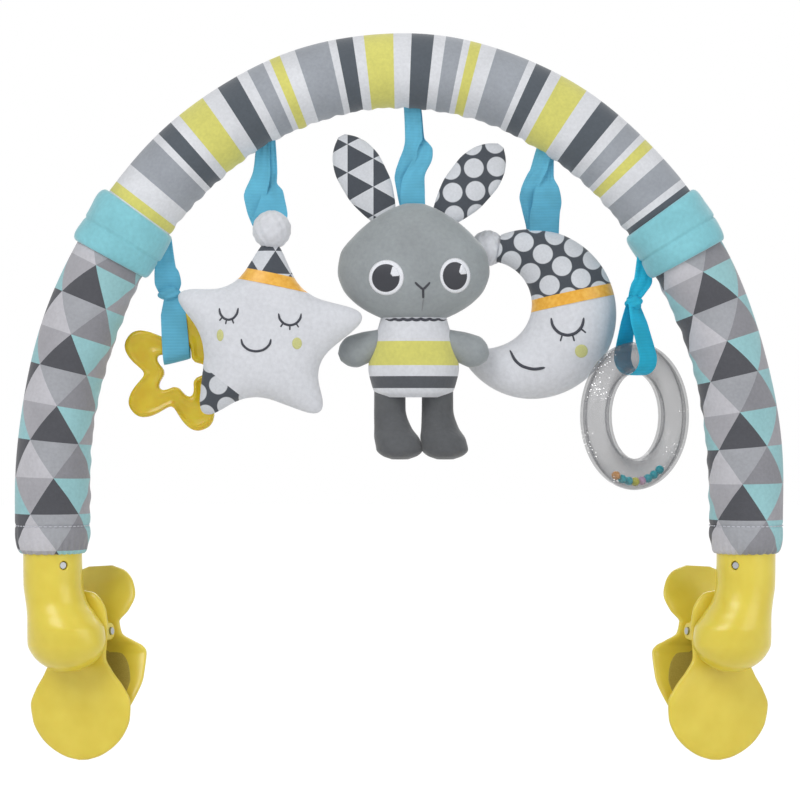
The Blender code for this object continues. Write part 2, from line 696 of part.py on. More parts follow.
def add_ears(item, side, near, far, plate_d):
    """Two lugs from a jaw's plate round the pin, each one solid, and their bore for it."""
    facing = math.copysign(1.0, plate_d - pin_d)
    base = ear_radius * ear_base_share
    for sign in (-1.0, 1.0):
        rings = []
        for u in (sign * near, sign * far):
            ring = [jaw_point(side, u, plate_d, -pin_drop + base),
                    jaw_point(side, u, plate_d, -pin_drop - base)]
            for k in range(ear_arc_steps + 1):
                turn = 180.0 * k / ear_arc_steps
                ring.append(jaw_point(side, u, pin_d - facing * ear_radius * sin(turn),
                                      -pin_drop - ear_radius * cos(turn)))
            rings.append(ring)
        boolean(item, tool_object(loft(rings)), "UNION")
    reach = far + cut_overrun
    hole = pin_radius + seat_gap
    boolean(item, tool_object(jaw_bar(side, -reach, reach, pin_d, -pin_drop, hole, pin_sides)),
            "DIFFERENCE")


def pad_frame(side, inner):
    """Middle, up direction and inward normal of a jaw's grip pad, in jaw axes."""
    if not inner:
        return (outer_jaw_mid - 0.5 * jaw_thickness, -pad_drop), (0.0, 1.0)
    (z_top, d_top), (z_low, d_low) = [
        (share[0] * inner_jaw_bottom, outer_jaw_mid - share[2] * inner_jaw_back)
        for share in (inner_jaw_shares[inner_face_share], inner_jaw_shares[inner_tip_share])]
    along = Vector((d_top - d_low, z_top - z_low)).normalized()
    normal = Vector((along.y, -along.x))
    middle = Vector((0.5 * (d_top + d_low), 0.5 * (z_top + z_low)))
    middle += along * (0.5 * Vector((d_top - d_low, z_top - z_low)).length
                       - pad_half_height - 0.5 * pad_thickness)
    middle += normal * 0.5 * inner_jaw_thickness
    return (middle.x, middle.y), (along.x, along.y)


def pad_solid(side, inner, from_depth, to_depth, grow):
    """An oval plate in a jaw's gripping face, between two depths above that face."""
    (d0, z0), (along_d, along_z) = pad_frame(side, inner)
    facing = 1.0 if inner else -1.0
    normal_d, normal_z = facing * along_z, -facing * along_d
    rings = []
    for depth in (from_depth, to_depth):
        ring = []
        for across, up in oval(pad_half_width + grow, pad_half_height + grow, pad_sides, pad_edge_power):
            ring.append(jaw_point(side, across, d0 + up * along_d + depth * normal_d,
                                  z0 + up * along_z + depth * normal_z))
        rings.append(ring)
    return loft(rings)


def make_outer_jaw(prefix, side):
    """Front paddle: an egg shaped plate under a disc that turns behind the bulb."""
    rings = []
    for height, wide, thick in outer_jaw_shares:
        z = height * (outer_jaw_top if height > 0 else outer_jaw_bottom)
        rings.append([jaw_point(side, u, outer_jaw_mid + d, z)
                      for u, d in oval(outer_jaw_half_width * wide, 0.5 * jaw_thickness * thick,
                                       jaw_ring_points, jaw_edge_power)])
    item = make_object(prefix + "_outer_jaw", loft(rings), plastic_yellow)
    add_ears(item, side, outer_ear_inner, outer_ear_outer, outer_jaw_mid)
    boolean(item, tool_object(pad_solid(side, False, -pad_recess, cut_overrun, seat_gap)),
            "DIFFERENCE")
    # Hole and countersink for the rivet
    back = outer_jaw_mid - 0.5 * jaw_thickness
    hole = rivet_radius + seat_gap
    boolean(item, tool_object(round_bar(jaw_point(side, 0.0, back - cut_overrun, 0.0),
                                        jaw_point(side, 0.0, back + jaw_thickness + cut_overrun, 0.0),
                                        hole, hole, small_hole_sides)), "DIFFERENCE")
    head = rivet_head_radius + seat_gap
    boolean(item, tool_object(round_bar(jaw_point(side, 0.0, back - cut_overrun, 0.0),
                                        jaw_point(side, 0.0, back + rivet_head_height + seat_gap, 0.0),
                                        head, head, rivet_head_sides)), "DIFFERENCE")
    return item


def make_inner_jaw(prefix, side):
    """Rear lever: a squeeze lobe above the pin, and below it a bowed jaw round the rail."""
    rings = []
    for height, wide, deep, thick in inner_jaw_shares:
        z = height * (inner_jaw_top if height > 0 else inner_jaw_bottom)
        middle = outer_jaw_mid - inner_jaw_back * deep
        rings.append([jaw_point(side, u, middle + d, z)
                      for u, d in oval(inner_jaw_half_width * wide, 0.5 * inner_jaw_thickness * thick,
                                       jaw_ring_points, jaw_edge_power)])
    item = make_object(prefix + "_inner_jaw", loft(rings), plastic_yellow)
    waist = outer_jaw_mid - inner_jaw_back * inner_jaw_shares[waist_share][2]
    add_ears(item, side, inner_ear_inner, inner_ear_outer, waist)
    boolean(item, tool_object(pad_solid(side, True, -pad_recess, cut_overrun, seat_gap)),
            "DIFFERENCE")
    return item


def make_pad(prefix, side, inner):
    name = prefix + ("_inner_pad" if inner else "_outer_pad")
    return make_object(name, pad_solid(side, inner, seat_gap - pad_recess,
                                       pad_thickness - pad_recess, 0.0), pad_mustard)


def make_jaw_pin(prefix, side):
    item = make_object(prefix + "_jaw_pin",
                       jaw_bar(side, -pin_half_length, pin_half_length, pin_d, -pin_drop,
                               pin_radius, pin_sides), steel)
    head = jaw_bar(side, pin_half_length, pin_half_length + pin_head_length, pin_d, -pin_drop,
                   pin_head_radius, pin_sides)
    return boolean(item, tool_object(head), "UNION")


def make_rivet(prefix, side):
    """Rivet on which the jaws tilt, its head sunk in the outer jaw."""
    back = outer_jaw_mid - 0.5 * jaw_thickness
    floor = back + rivet_head_height
    head = round_bar(jaw_point(side, 0.0, back, 0.0), jaw_point(side, 0.0, floor, 0.0),
                     rivet_head_radius, rivet_head_radius, rivet_head_sides)
    item = make_object(prefix + "_swivel_rivet", head, steel)
    shank = round_bar(jaw_point(side, 0.0, floor - 0.5 * rivet_head_height, 0.0),
                      jaw_point(side, 0.0, -swivel_back + rivet_depth, 0.0),
                      rivet_radius, rivet_radius, small_hole_sides)
    return boolean(item, tool_object(shank), "UNION")


def spring_points():
    """Torsion spring round the pin: an arm, the curls and another arm, in jaw axes."""
    half = 0.5 * spring_curls * spring_pitch
    steps = spring_curls * spring_points_per_curl
    points = []
    for k in range(steps + 1):
        turn = 360.0 * k / spring_points_per_curl
        points.append((-half + spring_pitch * k / spring_points_per_curl,
                       pin_d + spring_coil_radius * cos(turn),
                       -pin_drop + spring_coil_radius * sin(turn)))
    # The front arm rises to the outer jaw's plate, the rear arm to the lever
    front_d = outer_jaw_mid - 0.5 * jaw_thickness - spring_wire_radius - seat_gap
    front = (-half, front_d, -pin_drop + spring_arm_rise)
    lever_share = inner_jaw_shares[spring_rest_share]
    rear_d = (outer_jaw_mid - inner_jaw_back * lever_share[2] + 0.5 * inner_jaw_thickness
              + spring_wire_radius + seat_gap + turn_gap)
    last = points[-1]
    around = [(last[0] + spring_pitch * k / spring_points_per_curl,
               pin_d + spring_coil_radius * cos(360.0 * k / spring_points_per_curl),
               -pin_drop + spring_coil_radius * sin(360.0 * k / spring_points_per_curl))
              for k in range(1, spring_points_per_curl // 2 + 1)]
    rear = (around[-1][0], rear_d, lever_share[0] * inner_jaw_top)
    return [front] + points + around + [rear]


def make_spring(prefix, side):
    """Wire spring, one unbroken tube round the pin."""
    route = [jaw_point(side, *point) for point in spring_points()]
    curve = bpy.data.curves.new(prefix + "_jaw_spring", "CURVE")
    curve.dimensions = "3D"
    curve.bevel_depth = spring_wire_radius
    curve.bevel_resolution = 1
    curve.resolution_u = 1
    curve.render_resolution_u = 0
    curve.use_fill_caps = True
    spline = curve.splines.new("POLY")
    spline.points.add(len(route) - 1)
    for target, point in zip(spline.points, route):
        target.co = (*point, 1.0)
    curve.materials.append(make_material(prefix + "_jaw_spring", *steel))
    item = bpy.data.objects.new(prefix + "_jaw_spring", curve)
    bpy.context.collection.objects.link(item)
    return item


def least_spring_gap():
    """Smallest clear distance between points of the wire at least half a curl apart."""
    points = np.array(spring_points())
    fine = []
    for a, b in zip(points, points[1:]):
        fine += [a + (b - a) * k / spring_gap_steps for k in range(spring_gap_steps)]
    fine = np.array(fine)
    apart = np.linalg.norm(fine[:, None] - fine[None], axis=2)
    steps = np.abs(np.arange(len(fine))[:, None] - np.arange(len(fine))[None])
    apart[steps < spring_gap_steps // 2 * spring_points_per_curl] = arch_half_span
    return apart.min() - 2.0 * spring_wire_radius


def make_clip(prefix, side):
    make_socket(prefix, side)
    make_socket_screw(prefix, side)
    make_outer_jaw(prefix, side)
    make_inner_jaw(prefix, side)
    make_pad(prefix, side, False)
    make_pad(prefix, side, True)
    make_jaw_pin(prefix, side)
    make_rivet(prefix, side)
    make_spring(prefix, side)


def rounded_corners(corners, radii, steps):
    """A closed outline with each corner replaced by an arc-like curve."""
    outline = []
    count = len(corners)
    for k in range(count):
        before, corner, after = corners[k - 1], corners[k], corners[(k + 1) % count]
        back, on = before - corner, after - corner
        start = corner + back.normalized() * min(radii[k], corner_room_share * back.length)
        end = corner + on.normalized() * min(radii[k], corner_room_share * on.length)
        for j in range(steps + 1):
            t = j / steps
            outline.append((1 - t) ** 2 * start + 2 * t * (1 - t) * corner + t ** 2 * end)
    return outline


def star_outline(grow):
    corners, radii = [], []
    for (arm, reach), (notch, depth) in zip(star_arm_shares, star_notch_shares):
        tip = reach * star_reach + star_tip_overshoot_share * star_tip_round + grow
        corners.append(Vector((cos(arm), sin(arm))) * tip)
        radii.append(2.0 * star_tip_round)
        corners.append(Vector((cos(notch), sin(notch))) * (depth * star_notch + grow))
        radii.append(star_notch_round)
    return rounded_corners(corners, radii, star_corner_steps)


def star_pillow(grow=0.0):
    """Stuffed star: rings that shrink towards the middle on an elliptical crown."""
    outline = star_outline(grow)
    half = star_half_thickness + grow
    rings = []
    for sign, shares in ((-1.0, star_ring_shares[:0:-1]), (1.0, star_ring_shares)):
        for share in shares:
            crown = sign * half * math.sqrt(1.0 - share ** star_crown_power)
            rings.append([(star_middle_x + p.x * share, star_y + crown, star_middle_z + p.y * share)
                          for p in outline])
    bm = loft(rings)
    for face in [f for f in bm.faces if len(f.verts) == len(outline)]:
        made = bmesh.ops.poke(bm, faces=[face])
        for vertex in made["verts"]:
            sign = 1.0 if vertex.co.y > star_y else -1.0
            vertex.co = (star_middle_x, star_y + sign * half, star_middle_z)
    return bm


def along_arm(turn, distance):
    return Vector((star_middle_x + distance * cos(turn), star_y, star_middle_z + distance * sin(turn)))


def make_star():
    """The stuffed star in four cloths: body, printed cap, satin band and printed foot."""
    top_turn = star_arm_shares[0][0]
    band_normal = Vector((cos(top_turn - star_band_turn), 0.0, sin(top_turn - star_band_turn)))
    band_top = along_arm(top_turn, star_band_top)
    band_low = band_top - band_normal * star_band_width
    foot_turn = star_arm_shares[3][0]
    foot_normal = Vector((cos(foot_turn), 0.0, sin(foot_turn)))
    foot_start = along_arm(foot_turn, star_patch_reach)
    half_gap = 0.5 * seat_gap

    body = bisect(star_pillow(), band_low - band_normal * half_gap, band_normal, False)
    bisect(body, foot_start - foot_normal * half_gap, foot_normal, False)
    make_object("star_body", body, plush_white)
    cap = bisect(star_pillow(), band_top + band_normal * half_gap, band_normal, True)
    cap_item = make_object("star_cap", cap, cloth_print)
    band = bisect(star_pillow(star_band_proud), band_low + band_normal * half_gap, band_normal, True)
    bisect(band, band_top - band_normal * half_gap, band_normal, False)
    make_object("star_cap_band", band, ((0.85, 0.42, 0.03), 0.4))
    foot = bisect(star_pillow(), foot_start + foot_normal * half_gap, foot_normal, True)
    make_object("star_foot_patch", foot, cloth_print)

    ball = along_arm(top_turn, star_pompom_rise)
    dent = sphere(ball, pompom_radius + ball_gap, ball_sides, ball_cut_rows)
    boolean(cap_item, tool_object(dent), "DIFFERENCE")
    make_object("star_pompom", sphere(ball, pompom_radius, ball_sides, ball_rows), plush_white)
    return ball


def soft_form(root, up, across, length, half_width, half_depth, shares, sides, grow=0.0):
    """A stuffed form that swells and tapers along an axis.

    Each share gives a place along the length, a part of the half width and one of the half depth.
    """
    up, across = Vector(up).normalized(), Vector(across).normalized()
    deep = up.cross(across)
    rings = []
    for along, wide, thick in shares:
        push = grow * (2.0 * along - 1.0) if along in (0.0, 1.0) else 0.0
        centre = Vector(root) + up * (length * along + push)
        section = oval(half_width * wide + grow, half_depth * thick + grow, sides, round_power)
        rings.append([centre + across * a + deep * b for a, b in section])
    return loft(rings)


def head_form(grow=0.0):
    return soft_form((rabbit_x, 0.0, head_bottom), (0, 0, 1), (1, 0, 0), head_height,
                     head_half_width, head_half_depth, head_shares, head_sides, grow)


def body_form(grow=0.0):
    return soft_form((rabbit_x, 0.0, body_bottom), (0, 0, 1), (1, 0, 0), body_height,
                     body_half_width, body_half_depth, body_shares, soft_sides, grow)


def make_rabbit():
    """Stuffed rabbit: limbs and ears sewn fast, each cut where a larger part takes it in."""
    make_object("bunny_head", head_form(), plush_gray)
    body = make_object("bunny_body", body_form(), cloth_print)
    boolean(body, tool_object(head_form(seat_gap)), "DIFFERENCE")
    for side, name, splay in ((-1.0, "right", right_ear_splay), (1.0, "left", left_ear_splay)):
        up = Vector((side * sin(splay), 0.0, cos(splay)))
        across = Vector((cos(splay), 0.0, -side * sin(splay)))
        root = (rabbit_x + side * ear_root_x, 0.0, ear_root_z - ear_sink_share * ear_half_width)
        ear = make_object("bunny_%s_ear" % name,
                          soft_form(root, up, across, ear_length, ear_half_width, ear_half_depth,
                                    ear_shares, limb_sides), cloth_print)
        boolean(ear, tool_object(head_form(seat_gap)), "DIFFERENCE")

        out = Vector((side * cos(arm_drop), 0.0, -sin(arm_drop)))
        across = Vector((side * sin(arm_drop), 0.0, cos(arm_drop)))
        root = (rabbit_x + side * arm_root_x, 0.0, arm_root_z)
        arm = make_object("bunny_%s_arm" % name,
                          soft_form(root, out, across, arm_length, arm_half_width, arm_half_depth,
                                    arm_shares, limb_sides), plush_gray)
        boolean(arm, tool_object(body_form(seat_gap)), "DIFFERENCE")
        boolean(arm, tool_object(head_form(seat_gap)), "DIFFERENCE")

        rings = []
        for along, swell, shifted, forward in leg_shares:
            radius = leg_half_width + (foot_half_width - leg_half_width) * swell
            centre = (rabbit_x + side * leg_spread + shifted * foot_shift,
                      -forward * foot_forward, leg_root_z - along * leg_length)
            rings.append([(centre[0] + a, centre[1] + b, centre[2])
                          for a, b in oval(radius, radius, limb_sides, round_power)])
        leg = make_object("bunny_%s_leg" % name, loft(rings), ((0.12, 0.12, 0.125), 0.95))
        boolean(leg, tool_object(body_form(seat_gap)), "DIFFERENCE")


def moon_section(turn):
    """Middle, half width and outward direction of the crescent at a turn round its inner circle."""
    ray = Vector((cos(turn), sin(turn)))
    offset = Vector((moon_inner_x - moon_outer_x, moon_inner_z - moon_outer_z))
    b = ray.dot(offset)
    reach = -b + math.sqrt(b * b - offset.length_squared + moon_outer_radius ** 2)
    middle = Vector((moon_inner_x, moon_inner_z)) + ray * 0.5 * (reach + moon_inner_radius)
    return middle, 0.5 * (reach - moon_inner_radius), ray


def moon_form(grow=0.0):
    rings = []
    widest = moon_section(moon_widest_turn)[1]
    for k in range(moon_stations + 1):
        turn = moon_cap_turn + (moon_tip_turn - moon_cap_turn) * k / moon_stations
        middle, half, ray = moon_section(turn)
        taper = min(1.0, (1.0 + moon_tip_blunt_share - k / moon_stations) / moon_tip_share)
        half = half * math.sqrt(taper * (2.0 - taper)) + grow
        deep = moon_half_thickness * (half / widest) ** moon_depth_power + grow
        rings.append([(middle.x + ray.x * a, moon_y + b, middle.y + ray.y * a)
                      for a, b in oval(half, deep, moon_sides, round_power)])
    return loft(rings)


def make_moon():
    normal = Vector((-sin(moon_band_slope), 0.0, cos(moon_band_slope)))
    middle = Vector((moon_band_x, moon_y, moon_band_z))
    half = 0.5 * moon_band_width
    half_gap = 0.5 * seat_gap
    make_object("moon_body", bisect(moon_form(), middle - normal * (half + half_gap), normal, False),
                plush_white)
    cap = make_object("moon_cap", bisect(moon_form(), middle + normal * (half + half_gap), normal),
                      cloth_print)
    band = bisect(moon_form(moon_band_proud), middle - normal * (half - half_gap), normal)
    bisect(band, middle + normal * (half - half_gap), normal, False)
    make_object("moon_cap_band", band, ((0.85, 0.42, 0.03), 0.4))
    ball = Vector((moon_pompom_x, moon_y + moon_pompom_back, moon_pompom_z))
    make_object("moon_pompom", sphere(ball, moon_pompom_radius, ball_sides, ball_rows), plush_white)
    dent = sphere(ball, moon_pompom_radius + ball_gap, ball_sides, ball_cut_rows)
    boolean(cap, tool_object(dent), "DIFFERENCE")


def teether_outline(turn, inner):
    wave = cos(teether_lobes * (turn - teether_turn))
    if not inner:
        return teether_middle_radius + teether_lobe * wave
    sharp = (0.5 * (1.0 + wave)) ** teether_hole_power
    return teether_hole_notch + (teether_hole_tip - teether_hole_notch) * sharp


def make_teether():
    """Soft plastic star with a star shaped hole and a raised rim along both its edges."""
    section = teether_section_shares + [(a, -b) for a, b in reversed(teether_section_shares)]
    rings = []
    for k in range(teether_points):
        turn = 360.0 * k / teether_points
        inner, outer = teether_outline(turn, True), teether_outline(turn, False)
        rings.append([(teether_x + cos(turn) * (inner + (outer - inner) * a),
                       teether_y + teether_half_thickness * b,
                       teether_z + sin(turn) * (inner + (outer - inner) * a)) for a, b in section])
    return make_object("star_teether", loft(rings, round_trip=True), ((0.75, 0.58, 0.05), 0.25))


ring_across = Vector((cos(ring_yaw), sin(ring_yaw), 0.0))
ring_axis = Vector((sin(ring_yaw), -cos(ring_yaw), 0.0))
ring_centre = Vector((ring_x, 0.0, ring_z))


def ring_point(turn, radius, out):
    """A point at a turn from the ring's lowest point, and a height along its axis."""
    spoke = sin(turn) * ring_across - Vector((0, 0, 1)) * cos(turn)
    return ring_centre + radius * spoke + out * ring_axis


def make_ring_half(name, sign):
    """Half of the clear shell, open at the joint between the halves."""
    edge = 0.5 * seat_gap
    section = []
    for radius, order in ((ring_tube_radius, 1), (ring_tube_radius - ring_wall, -1)):
        start = math.degrees(math.asin(edge / radius))
        arc = [(radius * cos(start + (180.0 - 2.0 * start) * k / ring_section_points),
                radius * sin(start + (180.0 - 2.0 * start) * k / ring_section_points))
               for k in range(ring_section_points + 1)]
        section += arc[::order]
    rings = [[ring_point(360.0 * k / ring_points, ring_middle_radius + a, sign * b)
              for a, b in section] for k in range(ring_points)]
    return make_object(name, loft(rings, round_trip=True), ((0.86, 0.87, 0.9), 0.1))


def make_beads():
    colours = [(0.9, 0.55, 0.25), (0.1, 0.65, 0.68), (0.1, 0.65, 0.68), (0.85, 0.8, 0.25),
               (0.8, 0.6, 0.8), (0.1, 0.65, 0.68), (0.1, 0.65, 0.68), (0.1, 0.65, 0.68)]
    channel = ring_tube_radius - ring_wall
    sag = cos(180.0 / ring_points)
    radius = (ring_middle_radius + channel) * sag - bead_radius - seat_gap
    for k in range(bead_count):
        centre = ring_point(bead_first_turn + k * bead_step_turn, radius, 0.0)
        bead = sphere(centre, bead_radius, bead_sides, bead_rows)
        make_object("bead_%d" % (k + 1), bead, (colours[k], 0.35))


def ribbon_top(x, profile, width_share):
    """Half width of a ribbon's sewn edge, and the height of its lowest point."""
    half = 0.5 * ribbon_width * width_share
    return half, min(underside(profile, x - half), underside(profile, x + half)) - ribbon_gap


def ribbon_form(x, profile, foot, shares, twist):
    """Folded ribbon from the cloth above it down to its foot, its top edge along that cloth."""
    foot = Vector(foot)
    half, low_edge = ribbon_top(x, profile, shares[0][0])
    top = Vector((x, 0.0, low_edge))
    sewn = oval(half, 0.5 * ribbon_thickness * shares[0][1], ribbon_sides, ribbon_edge_power)
    rings = [[(x + a, b, underside(profile, x + a) - ribbon_gap) for a, b in sewn]]
    steps = len(shares) - 1
    for k, (wide, thick) in enumerate(shares[1:], 1):
        along = k / steps
        centre = top.lerp(foot, along)
        c, s = cos(twist * along), sin(twist * along)
        rings.append([(centre.x + a * c - b * s, centre.y + a * s + b * c, centre.z)
                      for a, b in oval(0.5 * ribbon_width * wide, 0.5 * ribbon_thickness * thick,
                                       ribbon_sides, ribbon_edge_power)])
    return loft(rings)


def loop_form(middle, across, deep, half_open, drop, power, straight, knot):
    """Strap loop, a flat band bent round what hangs in it and drawn together at the knot.

    middle is the centre of the bend, across the band's width there, deep the way it opens, and
    straight the share of its height over which the two sides stay apart.
    """
    up = Vector((0.0, 0.0, 1.0))
    half_open += 0.5 * strap_thickness
    drop += 0.5 * strap_thickness
    rise = knot.z - middle.z
    path = []
    for k in range(loop_arc_steps + 1):
        turn = 180.0 * k / loop_arc_steps
        c, s = cos(turn), sin(turn)
        path.append((math.copysign(abs(c) ** (2.0 / power), -c) * half_open,
                     -abs(s) ** (2.0 / power) * drop, 0.0))
    neck = loop_neck_share * ribbon_thickness
    path += [(half_open, straight * rise, 0.0), (neck, rise, 1.0), (-neck, rise, 1.0),
             (-half_open, straight * rise, 0.0)]
    level = Vector((across.x, across.y, 0.0)).normalized()
    rings = []
    for k, (a, b, tied) in enumerate(path):
        before, after = path[k - 1], path[(k + 1) % len(path)]
        along = Vector((after[0] - before[0], after[1] - before[1])).normalized()
        normal = deep * along.y - up * along.x
        shift = Vector((knot.x - middle.x, knot.y - middle.y, 0.0)) * tied
        half_width = 0.5 * ribbon_width * (1.0 + tied * (knot_ribbon_shares[-1][0] - 1.0))
        side = across.lerp(level, tied).normalized()
        centre = middle + deep * a + up * b + shift
        rings.append([centre + side * (w * half_width) + normal * (0.5 * strap_thickness * t)
                      for w, t in ((-1, -1), (1, -1), (1, 1), (-1, 1))])
    return loft(rings, round_trip=True)


def make_plain_ribbon(name, x, foot, twist, tool):
    item = make_object(name, ribbon_form(x, sleeve_profile(), foot, plain_ribbon_shares, twist),
                       ribbon_blue)
    return boolean(item, tool_object(tool), "DIFFERENCE")


def make_loop_ribbon(name, x, knot, loop):
    item = make_object(name, ribbon_form(x, cuff_profile(math.copysign(1.0, x)), knot,
                                         knot_ribbon_shares, 0.0), ribbon_blue)
    return boolean(item, tool_object(loop), "UNION")


def knot_place(ribbon_x, x, y, drop):
    """Place of a loop ribbon's knot, its height a drop from the ribbon's sewn edge."""
    profile = cuff_profile(math.copysign(1.0, ribbon_x))
    return Vector((x, y, ribbon_top(ribbon_x, profile, knot_ribbon_shares[0][0])[1] - drop))


def teether_bridge():
    """Middle of the hole's edge that the teether hangs by, and the strap's direction across it."""
    turn = teether_turn + (teether_bridge_lobe + 0.5) * 360.0 / teether_lobes
    edge = teether_hole_notch * Vector((cos(turn), 0.0, sin(turn)))
    return Vector((teether_x, teether_y, teether_z)) + edge, Vector((sin(turn), 0.0, -cos(turn)))


def make_ribbons(star_ball):
    foot = star_ball + Vector((0.0, 0.0, pompom_foot_share * pompom_radius))
    make_plain_ribbon("star_ribbon", star_ribbon_x, foot, star_ribbon_twist,
                      sphere(star_ball, pompom_radius + ball_gap, ball_sides, ball_cut_rows))
    head_top = head_bottom + head_height
    make_plain_ribbon("bunny_ribbon", bunny_ribbon_x, (bunny_ribbon_x, 0.0, head_top - ribbon_thickness),
                      bunny_ribbon_twist, head_form(seat_gap))
    x = moon_ribbon_foot_x
    cap_top = moon_outer_z + math.sqrt(moon_outer_radius ** 2 - (x - moon_outer_x) ** 2)
    foot = (x, moon_y, cap_top - foot_sink_share * ribbon_thickness)
    make_plain_ribbon("moon_ribbon", moon_ribbon_x, foot, moon_ribbon_twist, moon_form(seat_gap))
    # The teether hangs by the bridge between two lobes
    edge, across = teether_bridge()
    middle = edge + Vector((0.0, 0.0, teether_loop_room))
    knot = knot_place(teether_ribbon_x, teether_knot_x, teether_knot_y, teether_knot_drop)
    make_loop_ribbon("teether_ribbon", teether_ribbon_x, knot,
                     loop_form(middle, across, Vector((0.0, 1.0, 0.0)),
                               teether_half_thickness + teether_loop_room,
                               teether_loop_room + strap_gap, teether_loop_power,
                               teether_loop_straight_share, knot))
    # The ring hangs by the top of its tube, which drops away under the band's edges
    sag = ring_middle_radius - math.sqrt(ring_middle_radius ** 2 - (0.5 * ribbon_width) ** 2)
    middle = ring_centre + Vector((0.0, 0.0, ring_middle_radius - 0.5 * sag))
    knot = knot_place(ring_ribbon_x, ring_knot_x, 0.0, ring_knot_drop)
    make_loop_ribbon("ring_ribbon", ring_ribbon_x, knot,
                     loop_form(middle, ring_across, ring_axis, ring_tube_radius + ring_loop_room,
                               ring_tube_radius + 0.5 * sag + ring_loop_room, round_power,
                               ring_loop_straight_share, knot))


def set_origin(names, point):
    """Move objects' origins to a point, usually one on the axis that they turn about."""
    for name in names:
        item = bpy.data.objects[name]
        item.data.transform(Matrix.Translation(-point))
        item.location = point


def set_origins():
    """Every moving piece has its origin on its joint's axis."""
    for prefix, side in (("left", -1.0), ("right", 1.0)):
        set_origin([prefix + "_socket", prefix + "_socket_screw"],
                   Vector((side * arch_half_span, 0.0, groove_height)))
        set_origin([prefix + end for end in ("_outer_jaw", "_outer_pad", "_swivel_rivet",
                                             "_jaw_pin", "_jaw_spring")],
                   jaw_point(side, 0.0, outer_jaw_mid, 0.0))
        set_origin([prefix + "_inner_jaw", prefix + "_inner_pad"],
                   jaw_point(side, 0.0, pin_d, -pin_drop))
    on_sleeve = sleeve_profile()
    swings = [(star_ribbon_x, on_sleeve, plain_ribbon_shares,
               ["star_ribbon", "star_pompom", "star_cap", "star_cap_band", "star_body",
                "star_foot_patch"]),
              (bunny_ribbon_x, on_sleeve, plain_ribbon_shares,
               ["bunny_ribbon", "bunny_head", "bunny_left_ear", "bunny_right_ear", "bunny_body",
                "bunny_left_arm", "bunny_right_arm", "bunny_left_leg", "bunny_right_leg"]),
              (moon_ribbon_x, on_sleeve, plain_ribbon_shares,
               ["moon_ribbon", "moon_pompom", "moon_cap", "moon_cap_band", "moon_body"]),
              (teether_ribbon_x, cuff_profile(-1.0), knot_ribbon_shares, ["teether_ribbon"]),
              (ring_ribbon_x, cuff_profile(1.0), knot_ribbon_shares, ["ring_ribbon"])]
    for x, profile, shares, names in swings:
        low_edge = ribbon_top(x, profile, shares[0][0])[1]
        set_origin(names, Vector((x, 0.0, low_edge - ribbon_pivot_drop)))
    set_origin(["star_teether"], teether_bridge()[0])
    set_origin(["ring_front_half", "ring_rear_half"]
               + ["bead_%d" % (k + 1) for k in range(bead_count)], ring_centre)


def build():
    clear_scene()
    make_core_tube()
    make_foam()
    make_top_sleeve()
    for prefix, side in (("left", -1.0), ("right", 1.0)):
        make_leg_sleeve(prefix + "_leg_sleeve", side)
        make_cuff(prefix + "_cuff", side)
        make_clip(prefix, side)
    star_ball = make_star()
    make_rabbit()
    make_moon()
    make_teether()
    make_ring_half("ring_front_half", 1.0)
    make_ring_half("ring_rear_half", -1.0)
    make_beads()
    make_ribbons(star_ball)
    set_origins()
    print("least gap of the spring to itself: %.2f mm" % (1000.0 * least_spring_gap()))


build()
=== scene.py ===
"""Looks of the padded toy arch: printed jersey, plush, ribbon, moulded plastic and steel."""
import math

import bmesh
import bpy
import numpy as np
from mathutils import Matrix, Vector
from mathutils.bvhtree import BVHTree


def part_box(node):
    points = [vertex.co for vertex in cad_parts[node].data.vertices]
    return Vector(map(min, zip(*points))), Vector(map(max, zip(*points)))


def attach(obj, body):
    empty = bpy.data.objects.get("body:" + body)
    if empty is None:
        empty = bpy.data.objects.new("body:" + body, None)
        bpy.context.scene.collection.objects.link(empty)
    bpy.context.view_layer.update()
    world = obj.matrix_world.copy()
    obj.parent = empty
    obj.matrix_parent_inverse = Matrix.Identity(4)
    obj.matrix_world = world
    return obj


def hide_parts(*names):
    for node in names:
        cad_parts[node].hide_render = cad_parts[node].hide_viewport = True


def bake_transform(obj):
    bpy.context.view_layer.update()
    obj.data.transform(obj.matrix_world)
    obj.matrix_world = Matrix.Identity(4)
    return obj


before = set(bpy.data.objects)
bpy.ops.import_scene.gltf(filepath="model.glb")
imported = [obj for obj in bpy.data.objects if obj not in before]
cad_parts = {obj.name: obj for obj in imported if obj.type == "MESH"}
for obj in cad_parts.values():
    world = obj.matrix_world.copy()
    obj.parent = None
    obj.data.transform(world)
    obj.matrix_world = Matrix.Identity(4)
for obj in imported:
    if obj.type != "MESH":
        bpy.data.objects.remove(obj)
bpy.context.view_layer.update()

# The arch's core: a springy polypropylene tube, bent to half an ellipse on two straight legs,
# with a pipe of soft foam drawn over it.  Both stay hidden under the sleeves.

half_span = 0.208
rise = 0.252
spring_height = 0.134
leg_end = 0.0965
foam_radius = 0.0205
foam_bore = 0.0073

quarter = np.radians(np.linspace(0.0, 90.0, 2001))
half_path = np.vstack([np.stack([half_span * np.sin(quarter),
                                 spring_height + rise * np.cos(quarter)], 1),
                       [[half_span, leg_end]]])
half_arc = np.concatenate([[0.0], np.cumsum(np.linalg.norm(np.diff(half_path, axis=0), axis=1))])


